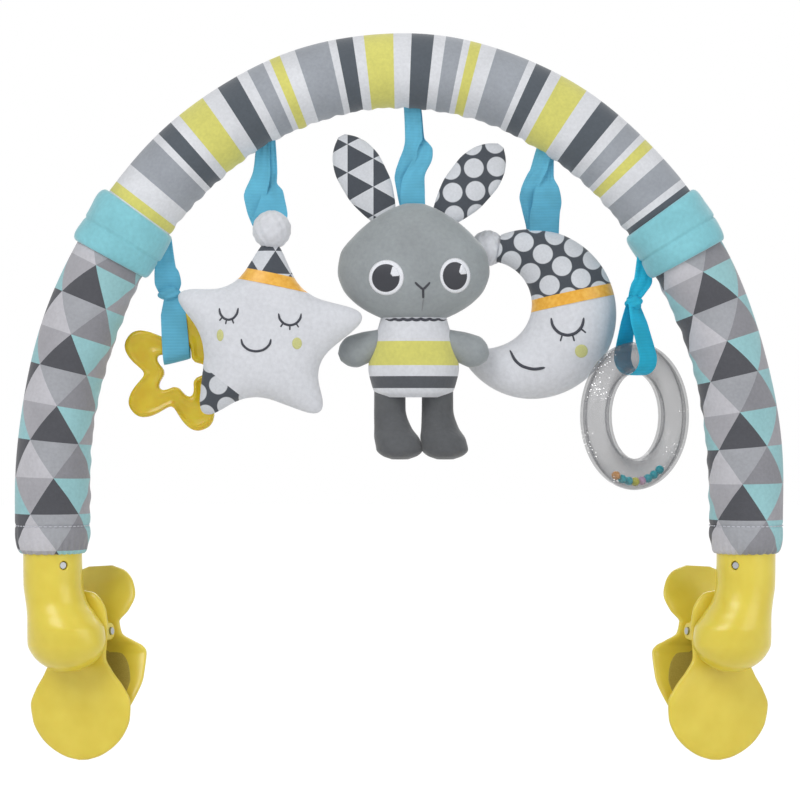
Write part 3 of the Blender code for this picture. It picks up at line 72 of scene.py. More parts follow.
def along_arch(s):
    """Centre and outward direction at signed lengths from the top of the arch.

    A half ellipse on two upright legs: the place is read off a finely cut path, and the
    direction is that of the ellipse's normal, (x / a^2, z / b^2), or level beside a leg."""
    x = np.sign(s) * np.interp(np.abs(s), half_arc, half_path[:, 0])
    z = np.interp(np.abs(s), half_arc, half_path[:, 1])
    centre = np.stack([x, 0.0 * x, z], -1)
    outward = np.stack([x / half_span ** 2, 0.0 * x,
                        np.maximum(z - spring_height, 0.0) / rise ** 2], -1)
    return centre, outward / np.linalg.norm(outward, axis=-1, keepdims=True)


def round_arch(s, theta, radius):
    """Points round the arch: centre + radius (cos theta outward + sin theta rearward)."""
    centre, outward = along_arch(s)
    return centre + radius[..., None] * (np.cos(theta)[..., None] * outward
                                         + np.sin(theta)[..., None] * np.array([0.0, 1.0, 0.0]))


def skin(name, points, material, body, around=True, along=False, uv=None, sharp=None):
    """A closed or open skin over a grid of points, rows by columns, or over a list of grids.

    around joins the last column to the first, along the last row to the first.  Where the
    rows aren't joined, each end of a closed tube gets one point at its middle."""
    vertices, faces, first = [], [], 0
    for grid in points if isinstance(points, list) else [points]:
        rows, columns = grid.shape[:2]
        index = first + np.arange(rows * columns).reshape(rows, columns)
        if around:
            index = np.hstack([index, index[:, :1]])
        if along:
            index = np.vstack([index, index[:1]])
        quads = np.stack([index[:-1, :-1], index[:-1, 1:], index[1:, 1:], index[1:, :-1]], -1)
        faces += quads.reshape(-1, 4).tolist()
        vertices.append(grid.reshape(-1, 3))
        first += rows * columns
        if around and not along:
            vertices.append(np.stack([grid[0].mean(0), grid[-1].mean(0)]))
            low, high = np.full(columns, first), np.full(columns, first + 1)
            faces += np.stack([index[0, 1:], index[0, :-1], low], -1).tolist()
            faces += np.stack([index[-1, :-1], index[-1, 1:], high], -1).tolist()
            first += 2
    mesh = bpy.data.meshes.new(name)
    mesh.from_pydata(np.vstack(vertices).tolist(), [], faces)
    if uv is not None:
        corners = np.stack([uv[:-1, :-1], uv[:-1, 1:], uv[1:, 1:], uv[1:, :-1]], 2).reshape(-1, 2)
        flat = np.zeros((len(mesh.loops), 2), np.float32)
        flat[:len(corners)] = corners
        mesh.uv_layers.new(name="cloth").data.foreach_set("uv", flat.ravel())
    if around or along:
        work = bmesh.new()
        work.from_mesh(mesh)
        bmesh.ops.recalc_face_normals(work, faces=work.faces)
        work.to_mesh(mesh)
        work.free()
    mesh.shade_smooth()
    if sharp:
        mesh.set_sharp_from_angle(angle=math.radians(sharp))
    piece = bpy.data.objects.new(name, mesh)
    bpy.context.collection.objects.link(piece)
    mesh.materials.append(material)
    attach(piece, body)
    return piece


def srgb(text):
    """A hex colour as linear light: c / 12.92, or ((c + 0.055) / 1.055) ^ 2.4 above 0.04045."""
    c = np.array([int(text[i:i + 2], 16) for i in (1, 3, 5)]) / 255.0
    return (*np.where(c <= 0.04045, c / 12.92, ((c + 0.055) / 1.055) ** 2.4).tolist(), 1.0)


def add_node(material, kind, inputs=None, **settings):
    """A node with its settings; an input is a value, or a socket that is linked to it."""
    made = material.node_tree.nodes.new("ShaderNode" + kind)
    for key, value in settings.items():
        setattr(made, key, value)
    for key, value in (inputs or {}).items():
        if isinstance(value, bpy.types.NodeSocket):
            material.node_tree.links.new(value, made.inputs[key])
        else:
            made.inputs[key].default_value = value
    return made


def new_material(name, colour, roughness, **sockets):
    """A Principled material whose even values sit on the shader's own sockets."""
    material = bpy.data.materials.new(name)
    material.use_nodes = True
    shader = material.node_tree.nodes["Principled BSDF"]
    shader.inputs["Base Color"].default_value = srgb(colour)
    shader.inputs["Roughness"].default_value = roughness
    for key, value in sockets.items():
        shader.inputs[key.replace("_", " ")].default_value = value
    return material


def ramp(material, position, stops, interpolation="CONSTANT"):
    """A row of colours, each from its own stop on."""
    made = add_node(material, "ValToRGB", {"Fac": position})
    made.color_ramp.interpolation = interpolation
    elements = made.color_ramp.elements
    while len(elements) < len(stops):
        elements.new(1.0)
    for element, (place, colour) in zip(elements, stops):
        element.position = place
        element.color = srgb(colour)
    return made.outputs["Color"]


def finish_with(material, colour=None, height=None, strength=0.5, distance=0.0002):
    """Link a colour, and a height that raises the surface, to a material's shader."""
    links, shader = material.node_tree.links, material.node_tree.nodes["Principled BSDF"]
    if colour is not None:
        links.new(colour, shader.inputs["Base Color"])
    if height is not None:
        bump = add_node(material, "Bump", {"Height": height, "Strength": strength,
                                           "Distance": distance})
        links.new(bump.outputs["Normal"], shader.inputs["Normal"])
    return material


def noise(material, size, detail=3.0):
    """Noise on the object's own coordinates, its blobs about a real size in metres."""
    place = add_node(material, "TexCoord").outputs["Object"]
    return add_node(material, "TexNoise", {"Vector": place, "Scale": 0.5 / size,
                                           "Detail": detail}).outputs["Fac"]


# Open cells of about a millimetre, cut through, give the foam its pitted face
cut_foam = new_material("cut_polyurethane_foam", "#DCD8C9", 0.95)
cells = add_node(cut_foam, "TexVoronoi", {"Vector": add_node(cut_foam, "TexCoord").outputs["Object"],
                                          "Scale": 900.0}).outputs["Distance"]
finish_with(cut_foam, ramp(cut_foam, cells, [(0.1, "#BDB7A2"), (0.6, "#E1DED2")], "LINEAR"), cells)
# Extruded pipe is smooth, with faint lines from the die and a waxy look
waxy_pipe = new_material("extruded_polypropylene", "#D6D6D2", 0.4)
streak = noise(waxy_pipe, 0.0015)
finish_with(waxy_pipe, ramp(waxy_pipe, streak, [(0.3, "#D1D1CB"), (0.7, "#DCDCD8")], "LINEAR"),
            streak, 0.2, 0.0001)
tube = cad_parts["core_tube"]
tube.data.materials.clear()
tube.data.materials.append(waxy_pipe)

s = np.linspace(0.008 - half_arc[-1], half_arc[-1] - 0.008, 160)[:, None]
theta = np.radians(np.linspace(0.0, 360.0, 49))[None, :-1]
pipe = [round_arch(s, theta, np.full((160, 1), foam_radius) + 0.0 * theta),
        round_arch(s[::-1], theta, np.full((160, 1), foam_bore) + 0.0 * theta)]
foam = skin("foam_pipe", np.vstack(pipe), cut_foam, "arch", along=True, sharp=40.0)
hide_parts("foam_padding")

# The arch's top sleeve: a tube of brushed cotton jersey, printed with stripes and drawn over
# foam.  It is cut a little long, so its underside ruckles where the arch bends it.

sleeve_radius = 0.0225
cuff_turn = 52.6
cuff_half = 0.0163
cuff_arc = float(np.interp(cuff_turn, np.degrees(quarter), half_arc[:-1]))


def pile(material, colour, clump, depth, mottle=0.08):
    """Brushed fibres: clumps of a real size in metres shade the colour and raise the surface,
    and broad strokes, where the nap lies another way, lighten and darken it."""
    fine, broad = noise(material, clump, 4.0), noise(material, 0.0125)
    fine_part = add_node(material, "MapRange", {"Value": fine, "From Min": 0.3, "From Max": 0.7,
                                                "To Min": 0.94, "To Max": 1.05}).outputs["Result"]
    broad_part = add_node(material, "MapRange", {"Value": broad, "From Min": 0.3, "From Max": 0.7,
                                                 "To Min": 1.0 - mottle,
                                                 "To Max": 1.0 + 0.6 * mottle}).outputs["Result"]
    both = add_node(material, "Math", {0: fine_part, 1: broad_part}, operation="MULTIPLY").outputs[0]
    if isinstance(colour, str):
        colour = srgb(colour)[:3]
    shaded = add_node(material, "VectorMath", {0: colour, "Scale": both}, operation="SCALE")
    return finish_with(material, shaded.outputs[0], fine, 0.45, depth)


# Stripe widths along the arch in millimetres, one repeat of the print
stripe_repeat = [(18.0, "#9CA1A9"), (4.6, "#DBDDE2"), (8.8, "#535A62"), (5.8, "#DBDDE2"),
                 (16.0, "#D6D270"), (9.6, "#DBDDE2"), (12.2, "#535A62"), (6.2, "#DBDDE2"),
                 (9.7, "#9CA1A9"), (3.8, "#DBDDE2"), (5.7, "#D6D270"), (8.9, "#DBDDE2")]
stripe_total = sum(width for width, _ in stripe_repeat)
first_stripe = 0.0566          # from the top of the arch back to a repeat's start

striped_jersey = new_material("striped_cotton_jersey", "#DBDDE2", 0.9, Sheen_Weight=0.25,
                              Sheen_Roughness=0.5)
cloth_place = add_node(striped_jersey, "SeparateXYZ",
                       {0: add_node(striped_jersey, "UVMap", uv_map="cloth").outputs[0]})
# Towards the cuffs the sleeve is stretched, which shifts the print by 3.6 mm
along = cloth_place.outputs["Y"]
outwards = add_node(striped_jersey, "Math", {0: along}, operation="ABSOLUTE").outputs[0]
stretch = add_node(striped_jersey, "MapRange", {"Value": outwards, "From Min": 0.166, "From Max": 0.174,
                                                "To Min": first_stripe, "To Max": first_stripe + 0.0036})
repeat = add_node(striped_jersey, "Math", {0: along, 1: stretch.outputs["Result"]}, operation="ADD")
repeat = add_node(striped_jersey, "Math", {0: repeat.outputs[0], 1: 0.001 * stripe_total},
                  operation="DIVIDE")
repeat = add_node(striped_jersey, "Math", {0: repeat.outputs[0]}, operation="FRACT")
starts = np.cumsum([0.0] + [width for width, _ in stripe_repeat[:-1]]) / stripe_total
stripes = ramp(striped_jersey, repeat.outputs[0],
               [(float(a), colour) for a, (_, colour) in zip(starts, stripe_repeat)])
pile(striped_jersey, stripes, 0.0009, 0.0003)

end = cuff_arc - 0.0006
s = np.linspace(-end, end, 420)[:, None]
theta = np.radians(np.linspace(90.0, 450.0, 97))[None, :-1]
inner = np.clip(-np.cos(theta), 0.0, 1.0) ** 3
ruckles = 0.0006 * inner * (np.sin(s / 0.0019 + 2.0 * np.sin(2.0 * theta))
                            * np.cos(s / 0.0071 + theta))
slack = 0.0002 * np.sin(s / 0.013 + 2.0 * theta) - 0.0002
top_sleeve = skin("striped_sleeve", round_arch(s, theta, sleeve_radius + slack + ruckles),
                  striped_jersey, "arch",
                  uv=np.stack(np.broadcast_arrays(np.append(theta, theta[:, :1] + 2 * np.pi, 1)
                                                  * sleeve_radius, s), -1))
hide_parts("top_sleeve")

# The leg sleeves: the same jersey, printed with rows of triangles, topstitched near the lower
# end and gathered in pleats round the clip's socket.

triangle_base = 0.0315
triangle_row = 0.0216


def triangle_print(material, u, v, base, row, even_colours, odd_colours):
    """Rows of triangles: in a row of height fraction f, the columns floor(x - f/2) and
    floor(x + f/2) agree inside an upright triangle and differ in a hanging one, so that their
    sum numbers the triangles.  Every other row is shifted by half a base."""
    def math_node(operation, a, b=0.0):
        return add_node(material, "Math", {0: a, 1: b}, operation=operation).outputs[0]

    height = math_node("DIVIDE", v, row)
    level = math_node("FLOOR", height)
    part = math_node("SUBTRACT", height, level)
    odd = math_node("FLOORED_MODULO", level, 2.0)
    x = math_node("ADD", math_node("DIVIDE", u, base), math_node("MULTIPLY", odd, 0.5))
    lean = math_node("MULTIPLY", part, 0.5)
    number = math_node("ADD", math_node("FLOOR", math_node("SUBTRACT", x, lean)),
                       math_node("FLOOR", math_node("ADD", x, lean)))
    colours = []
    for row_colours in (even_colours, odd_colours):
        count = len(row_colours)
        turn = math_node("FLOORED_MODULO", math_node("ADD", number, 0.5), float(count))
        turn = math_node("DIVIDE", turn, float(count))
        colours.append(ramp(material, turn, [(k / count, c) for k, c in enumerate(row_colours)]))
    mixed = add_node(material, "Mix", {"Factor": odd, 6: colours[0], 7: colours[1]},
                     data_type="RGBA")
    return mixed.outputs[2]


def thread(name, colour):
    """Embroidery thread: close strands of a third of a millimetre, with a silky gleam."""
    material = new_material(name, colour, 0.55, Sheen_Weight=0.3)
    strands = noise(material, 0.0003, 2.0)
    light = add_node(material, "MapRange", {"Value": strands, "To Min": 0.8, "To Max": 1.2})
    shaded = add_node(material, "VectorMath", {0: srgb(colour)[:3], "Scale": light.outputs["Result"]},
                      operation="SCALE")
    return finish_with(material, shaded.outputs[0], strands, 0.5, 0.0001)


pale_thread = thread("pale_topstitching_thread", "#C4C6CE")
for side_name, side in (("left", -1.0), ("right", 1.0)):
    jersey = new_material(side_name + "_triangle_jersey", "#919299", 0.9, Sheen_Weight=0.25,
                          Sheen_Roughness=0.5)
    cloth_place = add_node(jersey, "SeparateXYZ",
                           {0: add_node(jersey, "UVMap", uv_map="cloth").outputs[0]})
    triangles = triangle_print(jersey, cloth_place.outputs["X"], cloth_place.outputs["Y"],
                               triangle_base, triangle_row,
                               ["#4F5056", "#97C6CB", "#A09FA5", "#B9B9C0", "#97C6CB", "#A8A7AD"],
                               ["#C2C1C7", "#A3A5AB", "#8B8B91", "#97C6CB", "#A8A7AD", "#4F5056"])
    pile(jersey, triangles, 0.0009, 0.0003)
    bottom = half_arc[-1]
    s = np.concatenate([np.linspace(cuff_arc + 0.0006, bottom - 0.020, 190),
                        np.linspace(bottom - 0.0195, bottom, 60)])[:, None]
    theta = np.radians(np.linspace(90.0, 450.0, 193))[None, :-1]
    from_end = bottom - s
    # A quarter round end, pleats that deepen towards it, and the dip of the stitched line
    radius = np.where(from_end < 0.012,
                      0.0176 + 0.0049 * np.sqrt(np.clip(1.0 - (1.0 - from_end / 0.012) ** 2, 0, 1)),
                      sleeve_radius)
    pleats = 0.0009 * np.exp(-from_end / 0.006) * np.sin(26.0 * theta + 2.0 * np.sin(3.0 * theta))
    stitch_dip = -0.0006 * np.exp(-((from_end - 0.0168) / 0.0012) ** 2)
    inner = np.clip(-np.cos(theta), 0.0, 1.0) ** 2
    ruckles = 0.0005 * inner * np.sin(s / 0.0023 + theta) * np.cos(s / 0.009)
    slack = 0.0003 * np.sin(s / 0.017 + 2.0 * theta + side) - 0.0003
    points = round_arch(side * s, theta, radius + pleats + stitch_dip + ruckles + slack)
    twist = 0.0065 * (from_end - 0.02) / 0.13
    wide = np.append(theta, theta[:, :1] + 2 * np.pi, 1) - 1.5 * np.pi
    uv = np.stack(np.broadcast_arrays(
        side * wide * sleeve_radius + 0.5 * triangle_base - side * twist + 0.0007 + 0.0053 * side,
        from_end - 0.0222 + 0.0018 * side + 10 * triangle_row), -1)
    leg_sleeve = skin(side_name + "_printed_sleeve", points, jersey, "arch", uv=uv)
    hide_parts(side_name + "_leg_sleeve")
    # Topstitching: 46 short capsules of pale thread round the dip
    stitch_turn = np.radians(np.linspace(-3.0, 3.0, 7))[:, None]
    slim = np.sqrt(1.0 - np.linspace(-1.0, 1.0, 7) ** 4 + 0.02)[:, None, None]
    around_thread = np.radians(np.linspace(0.0, 360.0, 9))[None, :-1]
    dashes = []
    for k in range(46):
        here = stitch_turn + 2.0 * math.pi * k / 46.0 + 0.0 * around_thread
        level = np.full(here.shape, side * (bottom - 0.0168))
        core = round_arch(level, here, np.full(here.shape, sleeve_radius - 0.0006))
        _, outward = along_arch(level)
        normal = (np.cos(here)[..., None] * outward
                  + np.sin(here)[..., None] * np.array([0.0, 1.0, 0.0]))
        dashes.append(core + 0.00032 * slim * (np.cos(around_thread)[..., None] * normal
                                               + np.sin(around_thread)[..., None] * np.array([0, 0, 1.0])))
    skin(side_name + "_hem_stitches", dashes, pale_thread, "arch")

# The cuffs: bands of short-pile velour, folded in half and sewn over the joint between two
# sleeves.  The fold shows as a crease a little past the middle.

velour = pile(new_material("turquoise_velour", "#86C9D4", 0.95, Sheen_Weight=0.6,
                           Sheen_Roughness=0.4), "#86C9D4", 0.0012, 0.0005, mottle=0.10)
for side_name, side in (("left", -1.0), ("right", 1.0)):
    t = np.sin(np.radians(np.linspace(-90.0, 90.0, 61)))[:, None]
    theta = np.radians(np.linspace(0.0, 360.0, 129))[None, :-1]
    roll = np.clip(1.0 - np.abs(t) ** 7, 0.0, 1.0) ** 0.5
    crease = np.exp(-((t - 0.16) / 0.045) ** 2)
    wave = 0.0004 * np.sin(3.0 * theta + 4.0 * t + side) + 0.0003 * np.sin(5.0 * theta - 3.0 * t)
    radius = 0.0229 + (0.0030 + wave - 0.0010 * crease + 0.0004 * (t < 0.16)) * roll
    outer = round_arch(side * (cuff_arc + cuff_half * t), theta, radius)
    lining = round_arch(side * (cuff_arc + cuff_half * t[::-1] * 0.995), theta,
                        np.full((len(t), 1), 0.0227) + 0.0 * theta)
    cuff = skin(side_name + "_velour_cuff", np.vstack([outer, lining]), velour, "arch", along=True)
    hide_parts(side_name + "_cuff")

# The clips: glossy yellow ABS mouldings.  A socket holds the leg and swells into a bulb; behind
# it two jaws, sprung together on a steel pin, tilt on a rivet and grip with mustard pads.

clip_yaw = math.radians(22.0)
clip_lean = math.radians(4.0)
socket_top = 0.100
socket_height = 0.0735
socket_radius = 0.0176
bulb_height = 0.0510
bulb_inset = 0.0065
swivel_back = 0.0130
jaw_thickness = 0.0060
outer_jaw_mid = -(swivel_back + 0.0004 + 0.5 * jaw_thickness)
pin_d = outer_jaw_mid - 0.0140
pin_drop = 0.0040
pin_hole = 0.0024
lug_radius = 0.0052
lug_edge = 0.0004


def clip_points(side, u, d, z):
    """The clip's axes, u outwards, d rearward from the paddle's normal and z up, turned by the
    yaw about the leg and mirrored to its side."""
    return np.stack(np.broadcast_arrays(
        side * (half_span + u * math.cos(clip_yaw) + d * math.sin(clip_yaw)),
        u * math.sin(clip_yaw) - d * math.cos(clip_yaw), z), -1)


def jaw_points(side, u, d, z):
    """The same axes from the swivel's centre, leaning inwards by the rest lean."""
    return clip_points(side, u * math.cos(clip_lean) + z * math.sin(clip_lean) - bulb_inset, d,
                       bulb_height + z * math.cos(clip_lean) - u * math.sin(clip_lean))


def smooth_rows(shares, count):
    """A table's columns as even curves: a cubic through its rows whose slopes are the harmonic
    mean of the steps before and after a row, or nought at a peak."""
    table = np.array(shares, float)
    step = np.diff(table, axis=0)
    product = step[:-1] * step[1:]
    slope = np.zeros_like(table)
    slope[1:-1] = np.where(product > 0, 2 * product / (step[:-1] + step[1:] + 1e-12), 0.0)
    slope[0], slope[-1] = step[0], step[-1]
    place = np.linspace(0.0, len(table) - 1.0, count)
    k = np.minimum(place.astype(int), len(table) - 2)
    f = (place - k)[:, None]
    a, b, ma, mb = table[k], table[k + 1], slope[k], slope[k + 1]
    return ((2 * f ** 3 - 3 * f ** 2 + 1) * a + (f ** 3 - 2 * f ** 2 + f) * ma
            + (3 * f ** 2 - 2 * f ** 3) * b + (f ** 3 - f ** 2) * mb)


def oval(count, power):
    """Unit superellipse: |cos|^(2/p) across and |sin|^(2/p) deep, with their signs."""
    turn = np.radians(np.linspace(0.0, 360.0, count + 1))[:-1]
    c, s = np.cos(turn), np.sin(turn)
    return (np.sign(c) * np.abs(c) ** (2.0 / power))[None], (np.sign(s) * np.abs(s) ** (2.0 / power))[None]


def cut(piece, points, operation="DIFFERENCE"):
    """Cut a piece with, or join to it, the closed skin over a grid of points."""
    tool = skin("tool", points, piece.data.materials[0], "arch", sharp=30.0)
    modifier = piece.modifiers.new("cut", "BOOLEAN")
    modifier.operation = operation
    modifier.solver = "EXACT"
    modifier.object = tool
    graph = bpy.context.evaluated_depsgraph_get()
    mesh = bpy.data.meshes.new_from_object(piece.evaluated_get(graph))
    piece.modifiers.clear()
    piece.data = mesh
    bpy.data.objects.remove(tool)
    return piece


def add_lugs(jaw, side, near, far, plate_d):
    """Two lugs from a jaw's plate that carry the pin: each widens to the plate from half a round
    about the pin, pin_d - r sin and -r cos, with its edges broken, and is bored for the pin."""
    facing = math.copysign(1.0, plate_d - pin_d)
    turn = np.radians(np.linspace(0.0, 180.0, 25))[None]
    r = lug_radius - lug_edge * np.array([1.0, 0.0, 0.0, 1.0])[:, None]
    d = np.hstack([np.full((4, 2), plate_d), pin_d - facing * r * np.sin(turn)])
    z = np.hstack([1.15 * r, -1.15 * r, -r * np.cos(turn)]) - pin_drop
    for sign in (-1.0, 1.0):
        u = sign * np.array([near, near + lug_edge, far - lug_edge, far])[:, None]
        cut(jaw, jaw_points(side, u, d, z), "UNION")
    turn = np.radians(np.linspace(0.0, 360.0, 49))[None, :-1]
    across = np.array([-far - 0.001, far + 0.001])[:, None]
    cut(jaw, jaw_points(side, across, pin_d + pin_hole * np.cos(turn), pin_hole * np.sin(turn) - pin_drop))
    jaw.data.set_sharp_from_angle(angle=math.radians(35.0))


socket_shares = [(0.0, 0.0, 0.93, 0.93), (0.03, 0.0, 1.0, 1.0), (0.28, 0.03, 1.0, 1.0),
                 (0.42, 0.32, 1.03, 1.02), (0.54, 0.88, 1.16, 1.12), (0.66, 1.38, 1.33, 1.22),
                 (0.78, 1.47, 1.37, 1.16), (0.88, 1.47, 1.18, 0.98), (0.95, 1.47, 0.86, 0.72),
                 (1.0, 1.47, 0.42, 0.4)]
outer_jaw_shares = [(1.0, 0.22, 0.55), (0.93, 0.4, 0.8), (0.75, 0.53, 1.0), (0.4, 0.63, 1.0),
                    (0.0, 0.647, 1.0), (-0.13, 0.60, 1.0), (-0.24, 0.57, 1.0), (-0.34, 0.68, 1.0),
                    (-0.46, 0.88, 1.0), (-0.58, 1.0, 1.0), (-0.70, 0.97, 1.0),
                    (-0.82, 0.83, 0.95), (-0.92, 0.58, 0.85), (-0.98, 0.3, 0.65),
                    (-1.0, 0.1, 0.4)]
inner_jaw_shares = [(1.0, 0.25, 1.40, 0.5), (0.9, 0.52, 1.35, 0.85), (0.7, 0.72, 1.22, 1.0),
                    (0.46, 0.80, 1.08, 1.0), (0.22, 0.70, 0.96, 1.0), (0.03, 0.53, 0.88, 1.0),
                    (-0.08, 0.56, 0.89, 1.0), (-0.15, 0.76, 0.94, 1.0), (-0.20, 0.93, 0.985, 1.0),
                    (-0.25, 1.0, 0.987, 1.0), (-0.45, 1.02, 0.728, 1.0), (-0.66, 0.87, 0.455, 1.0),
                    (-0.83, 0.64, 0.235, 0.95), (-0.93, 0.40, 0.29, 0.8), (-1.0, 0.14, 0.38, 0.5)]

yellow_abs = new_material("moulded_yellow_abs", "#E2CC46", 0.30, IOR=1.5, Coat_Weight=0.15,
                          Coat_Roughness=0.2, Subsurface_Weight=0.08)
yellow_abs.node_tree.nodes["Principled BSDF"].inputs["Subsurface Scale"].default_value = 0.004
# Pigment lies a little unevenly in the moulding, and the tool's fine grain dulls the gloss
swirl, grain = noise(yellow_abs, 0.008, 2.0), noise(yellow_abs, 0.0005, 2.0)
finish_with(yellow_abs, ramp(yellow_abs, swirl, [(0.3, "#DEC840"), (0.7, "#E6D24C")], "LINEAR"),
            grain, 0.15, 0.0001)
# Rubber is matt, and its moulded face has a grain of half a millimetre
grip_rubber = new_material("moulded_grip_rubber", "#AE9B3F", 0.6)
grain = noise(grip_rubber, 0.0004)
finish_with(grip_rubber, ramp(grip_rubber, grain, [(0.3, "#A5923A"), (0.7, "#B5A349")], "LINEAR"), grain)
# Turned and drawn steel is brighter and duller by turns, along its fine tool marks
bright_steel = new_material("turned_bright_steel", "#AEB1B4", 0.3, Metallic=1.0)
wear = add_node(bright_steel, "MapRange", {"Value": noise(bright_steel, 0.0003, 2.0), "To Min": 0.22,
                                           "To Max": 0.42})
bright_steel.node_tree.links.new(wear.outputs["Result"], bright_steel.node_tree.nodes[
    "Principled BSDF"].inputs["Roughness"])

for side_name, side in (("left", -1.0), ("right", 1.0)):
    rows = smooth_rows(socket_shares, 110)
    across, deep = oval(96, 2.0)
    u = socket_radius * rows[:, 2:3] * across - bulb_inset * rows[:, 1:2]
    d = socket_radius * rows[:, 3:4] * deep
    z = socket_top - socket_height * rows[:, 0:1] + 0.0 * u
    d = np.where(z < 0.0775, np.maximum(d, -swivel_back), d)
    socket = skin(side_name + "_moulded_socket", clip_points(side, u, d, z), yellow_abs,
                  side_name + "_socket_body", sharp=40.0)
    hole_turn = math.radians(30.0)
    inwards = np.array([-side * math.sin(hole_turn), -math.cos(hole_turn), 0.0])
    level = np.array([-side * math.cos(hole_turn), math.sin(hole_turn), 0.0])
    middle = np.array([side * half_span, 0.0, 0.0900])
    turn = np.radians(np.linspace(0, 360, 33))[None, :-1, None]
    ring = 0.0027 * (np.cos(turn) * level + np.sin(turn) * np.array([0.0, 0.0, 1.0]))
    depth = np.array([0.0210, 0.0140])[:, None, None]
    cut(socket, middle + inwards * depth + ring)
    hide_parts(side_name + "_socket")

    rows = smooth_rows(outer_jaw_shares, 160)
    across, deep = oval(72, 3.0)
    z = rows[:, 0:1]
    z = np.where(z > 0, 0.022 * z, 0.080 * z)
    u = 0.034 * rows[:, 1:2] * across
    d = outer_jaw_mid + 0.5 * jaw_thickness * rows[:, 2:3] * deep
    jaw = skin(side_name + "_front_paddle", jaw_points(side, u, d, z + 0.0 * u), yellow_abs,
               side_name + "_clip")
    add_lugs(jaw, side, 0.0128, 0.0164, outer_jaw_mid)
    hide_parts(side_name + "_outer_jaw")

    rows = smooth_rows(inner_jaw_shares, 170)
    z = rows[:, 0:1]
    z = np.where(z > 0, 0.035 * z, 0.072 * z)
    u = 0.0335 * rows[:, 1:2] * across
    d = outer_jaw_mid - 0.026 * rows[:, 2:3] + 0.0025 * rows[:, 3:4] * deep
    lever = skin(side_name + "_rear_lever", jaw_points(side, u, d, z + 0.0 * u), yellow_abs,
                 side_name + "_lever")
    add_lugs(lever, side, 0.0084, 0.0122, outer_jaw_mid - 0.026 * inner_jaw_shares[5][2])
    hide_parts(side_name + "_inner_jaw")
    # The rear pad: an oval of rubber let into the jaw's front face, flush towards the tip
    z = -np.linspace(0.0150, 0.0640, 60)[:, None]
    bulge = np.sqrt(np.clip(1.0 - ((z + 0.0395) / 0.0246) ** 2, 0.0, 1.0))
    depth_at = np.interp(z, 0.072 * np.array([row[0] for row in inner_jaw_shares[:4:-1]]),
                         [row[2] for row in inner_jaw_shares[:4:-1]])
    width_at = np.interp(z, 0.072 * np.array([row[0] for row in inner_jaw_shares[:4:-1]]),
                         [row[1] for row in inner_jaw_shares[:4:-1]])
    u = 0.0335 * 0.80 * np.minimum(width_at, 1.0) * bulge ** 0.6 * across
    proud = 0.0008 - 0.0005 * np.clip((-z - 0.030) / 0.020, 0.0, 1.0)
    d = outer_jaw_mid - 0.026 * depth_at + 0.0017 + proud * np.clip(0.5 + 0.5 * deep, 0.0, 1.0)
    pad = skin(side_name + "_rear_grip_pad", jaw_points(side, u, d, z + 0.0 * u), grip_rubber,
               side_name + "_lever", sharp=40.0)
    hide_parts(side_name + "_inner_pad")
    for end_name, finish in (("_outer_pad", grip_rubber),
                             ("_jaw_pin", bright_steel), ("_swivel_rivet", bright_steel),
                             ("_socket_screw", bright_steel)):
        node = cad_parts[side_name + end_name]
        node.data.materials.clear()
        node.data.materials.append(finish)
    # The torsion spring: a smooth steel copy of the wire, whose coils sit round the pin
    wire = bpy.data.objects.new(side_name + "_torsion_spring",
                                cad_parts[side_name + "_jaw_spring"].data.copy())
    bpy.context.collection.objects.link(wire)
    wire.data.shade_smooth()
    wire.data.materials.clear()
    wire.data.materials.append(bright_steel)
    coil_back, arm_end = (jaw_points(side, 0.0, pin_d - d, -pin_drop).tolist()
                          for d in (0.0042, 0.0095))
    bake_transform(wire)
    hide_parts(side_name + "_jaw_spring")

# The plush star: two panels of white velour sewn round their edge and stuffed, with a printed
# cap, a satin band, a dotted foot and an embroidered sleeping face.

star_x, star_y, star_z = -0.0824, -0.0150, 0.2214
star_arms = [(84.5, 1.04), (15.2, 1.05), (-48.4, 0.90), (-128.6, 0.90), (-210.8, 0.965)]
star_notches = [(50.5, 0.98), (-19.3, 0.85), (-101.5, 0.74), (-186.0, 0.83), (-244.0, 0.93)]


def inflate(outline, half_thickness, cell=0.0007):
    """Height of a stuffed pillow over its outline, as a function of x and z.

    The root of the membrane that sags under an even load over the outline: solving
    laplacian(phi) = -1, with phi nought on the edge, by repeated averaging."""
    low = outline.min(0) - 3 * cell
    shape = np.ceil((outline.max(0) + 3 * cell - low) / cell).astype(int)
    gx = low[0] + cell * np.arange(shape[0])[:, None]
    gz = low[1] + cell * np.arange(shape[1])[None, :]
    inside = np.zeros(shape, bool)
    for (x0, z0), (x1, z1) in zip(outline, np.roll(outline, -1, 0)):
        crosses = (z0 > gz) != (z1 > gz)
        inside ^= crosses & (gx < x0 + (gz - z0) * (x1 - x0) / (z1 - z0 + 1e-15))
    phi = np.zeros(shape)
    for _ in range(2600):
        phi[1:-1, 1:-1] = 0.25 * (phi[:-2, 1:-1] + phi[2:, 1:-1] + phi[1:-1, :-2]
                                  + phi[1:-1, 2:] + cell * cell)
        phi *= inside
    high = phi.max()

    def height(x, z):
        i = np.clip((x - low[0]) / cell, 0, shape[0] - 1.001)
        k = np.clip((z - low[1]) / cell, 0, shape[1] - 1.001)
        a, b = i.astype(int), k.astype(int)
        fa, fb = i - a, k - b
        value = ((1 - fa) * (1 - fb) * phi[a, b] + fa * (1 - fb) * phi[a + 1, b]
                 + (1 - fa) * fb * phi[a, b + 1] + fa * fb * phi[a + 1, b + 1])
        return half_thickness * np.sqrt(np.clip(value / high, 0.0, None))
    return height


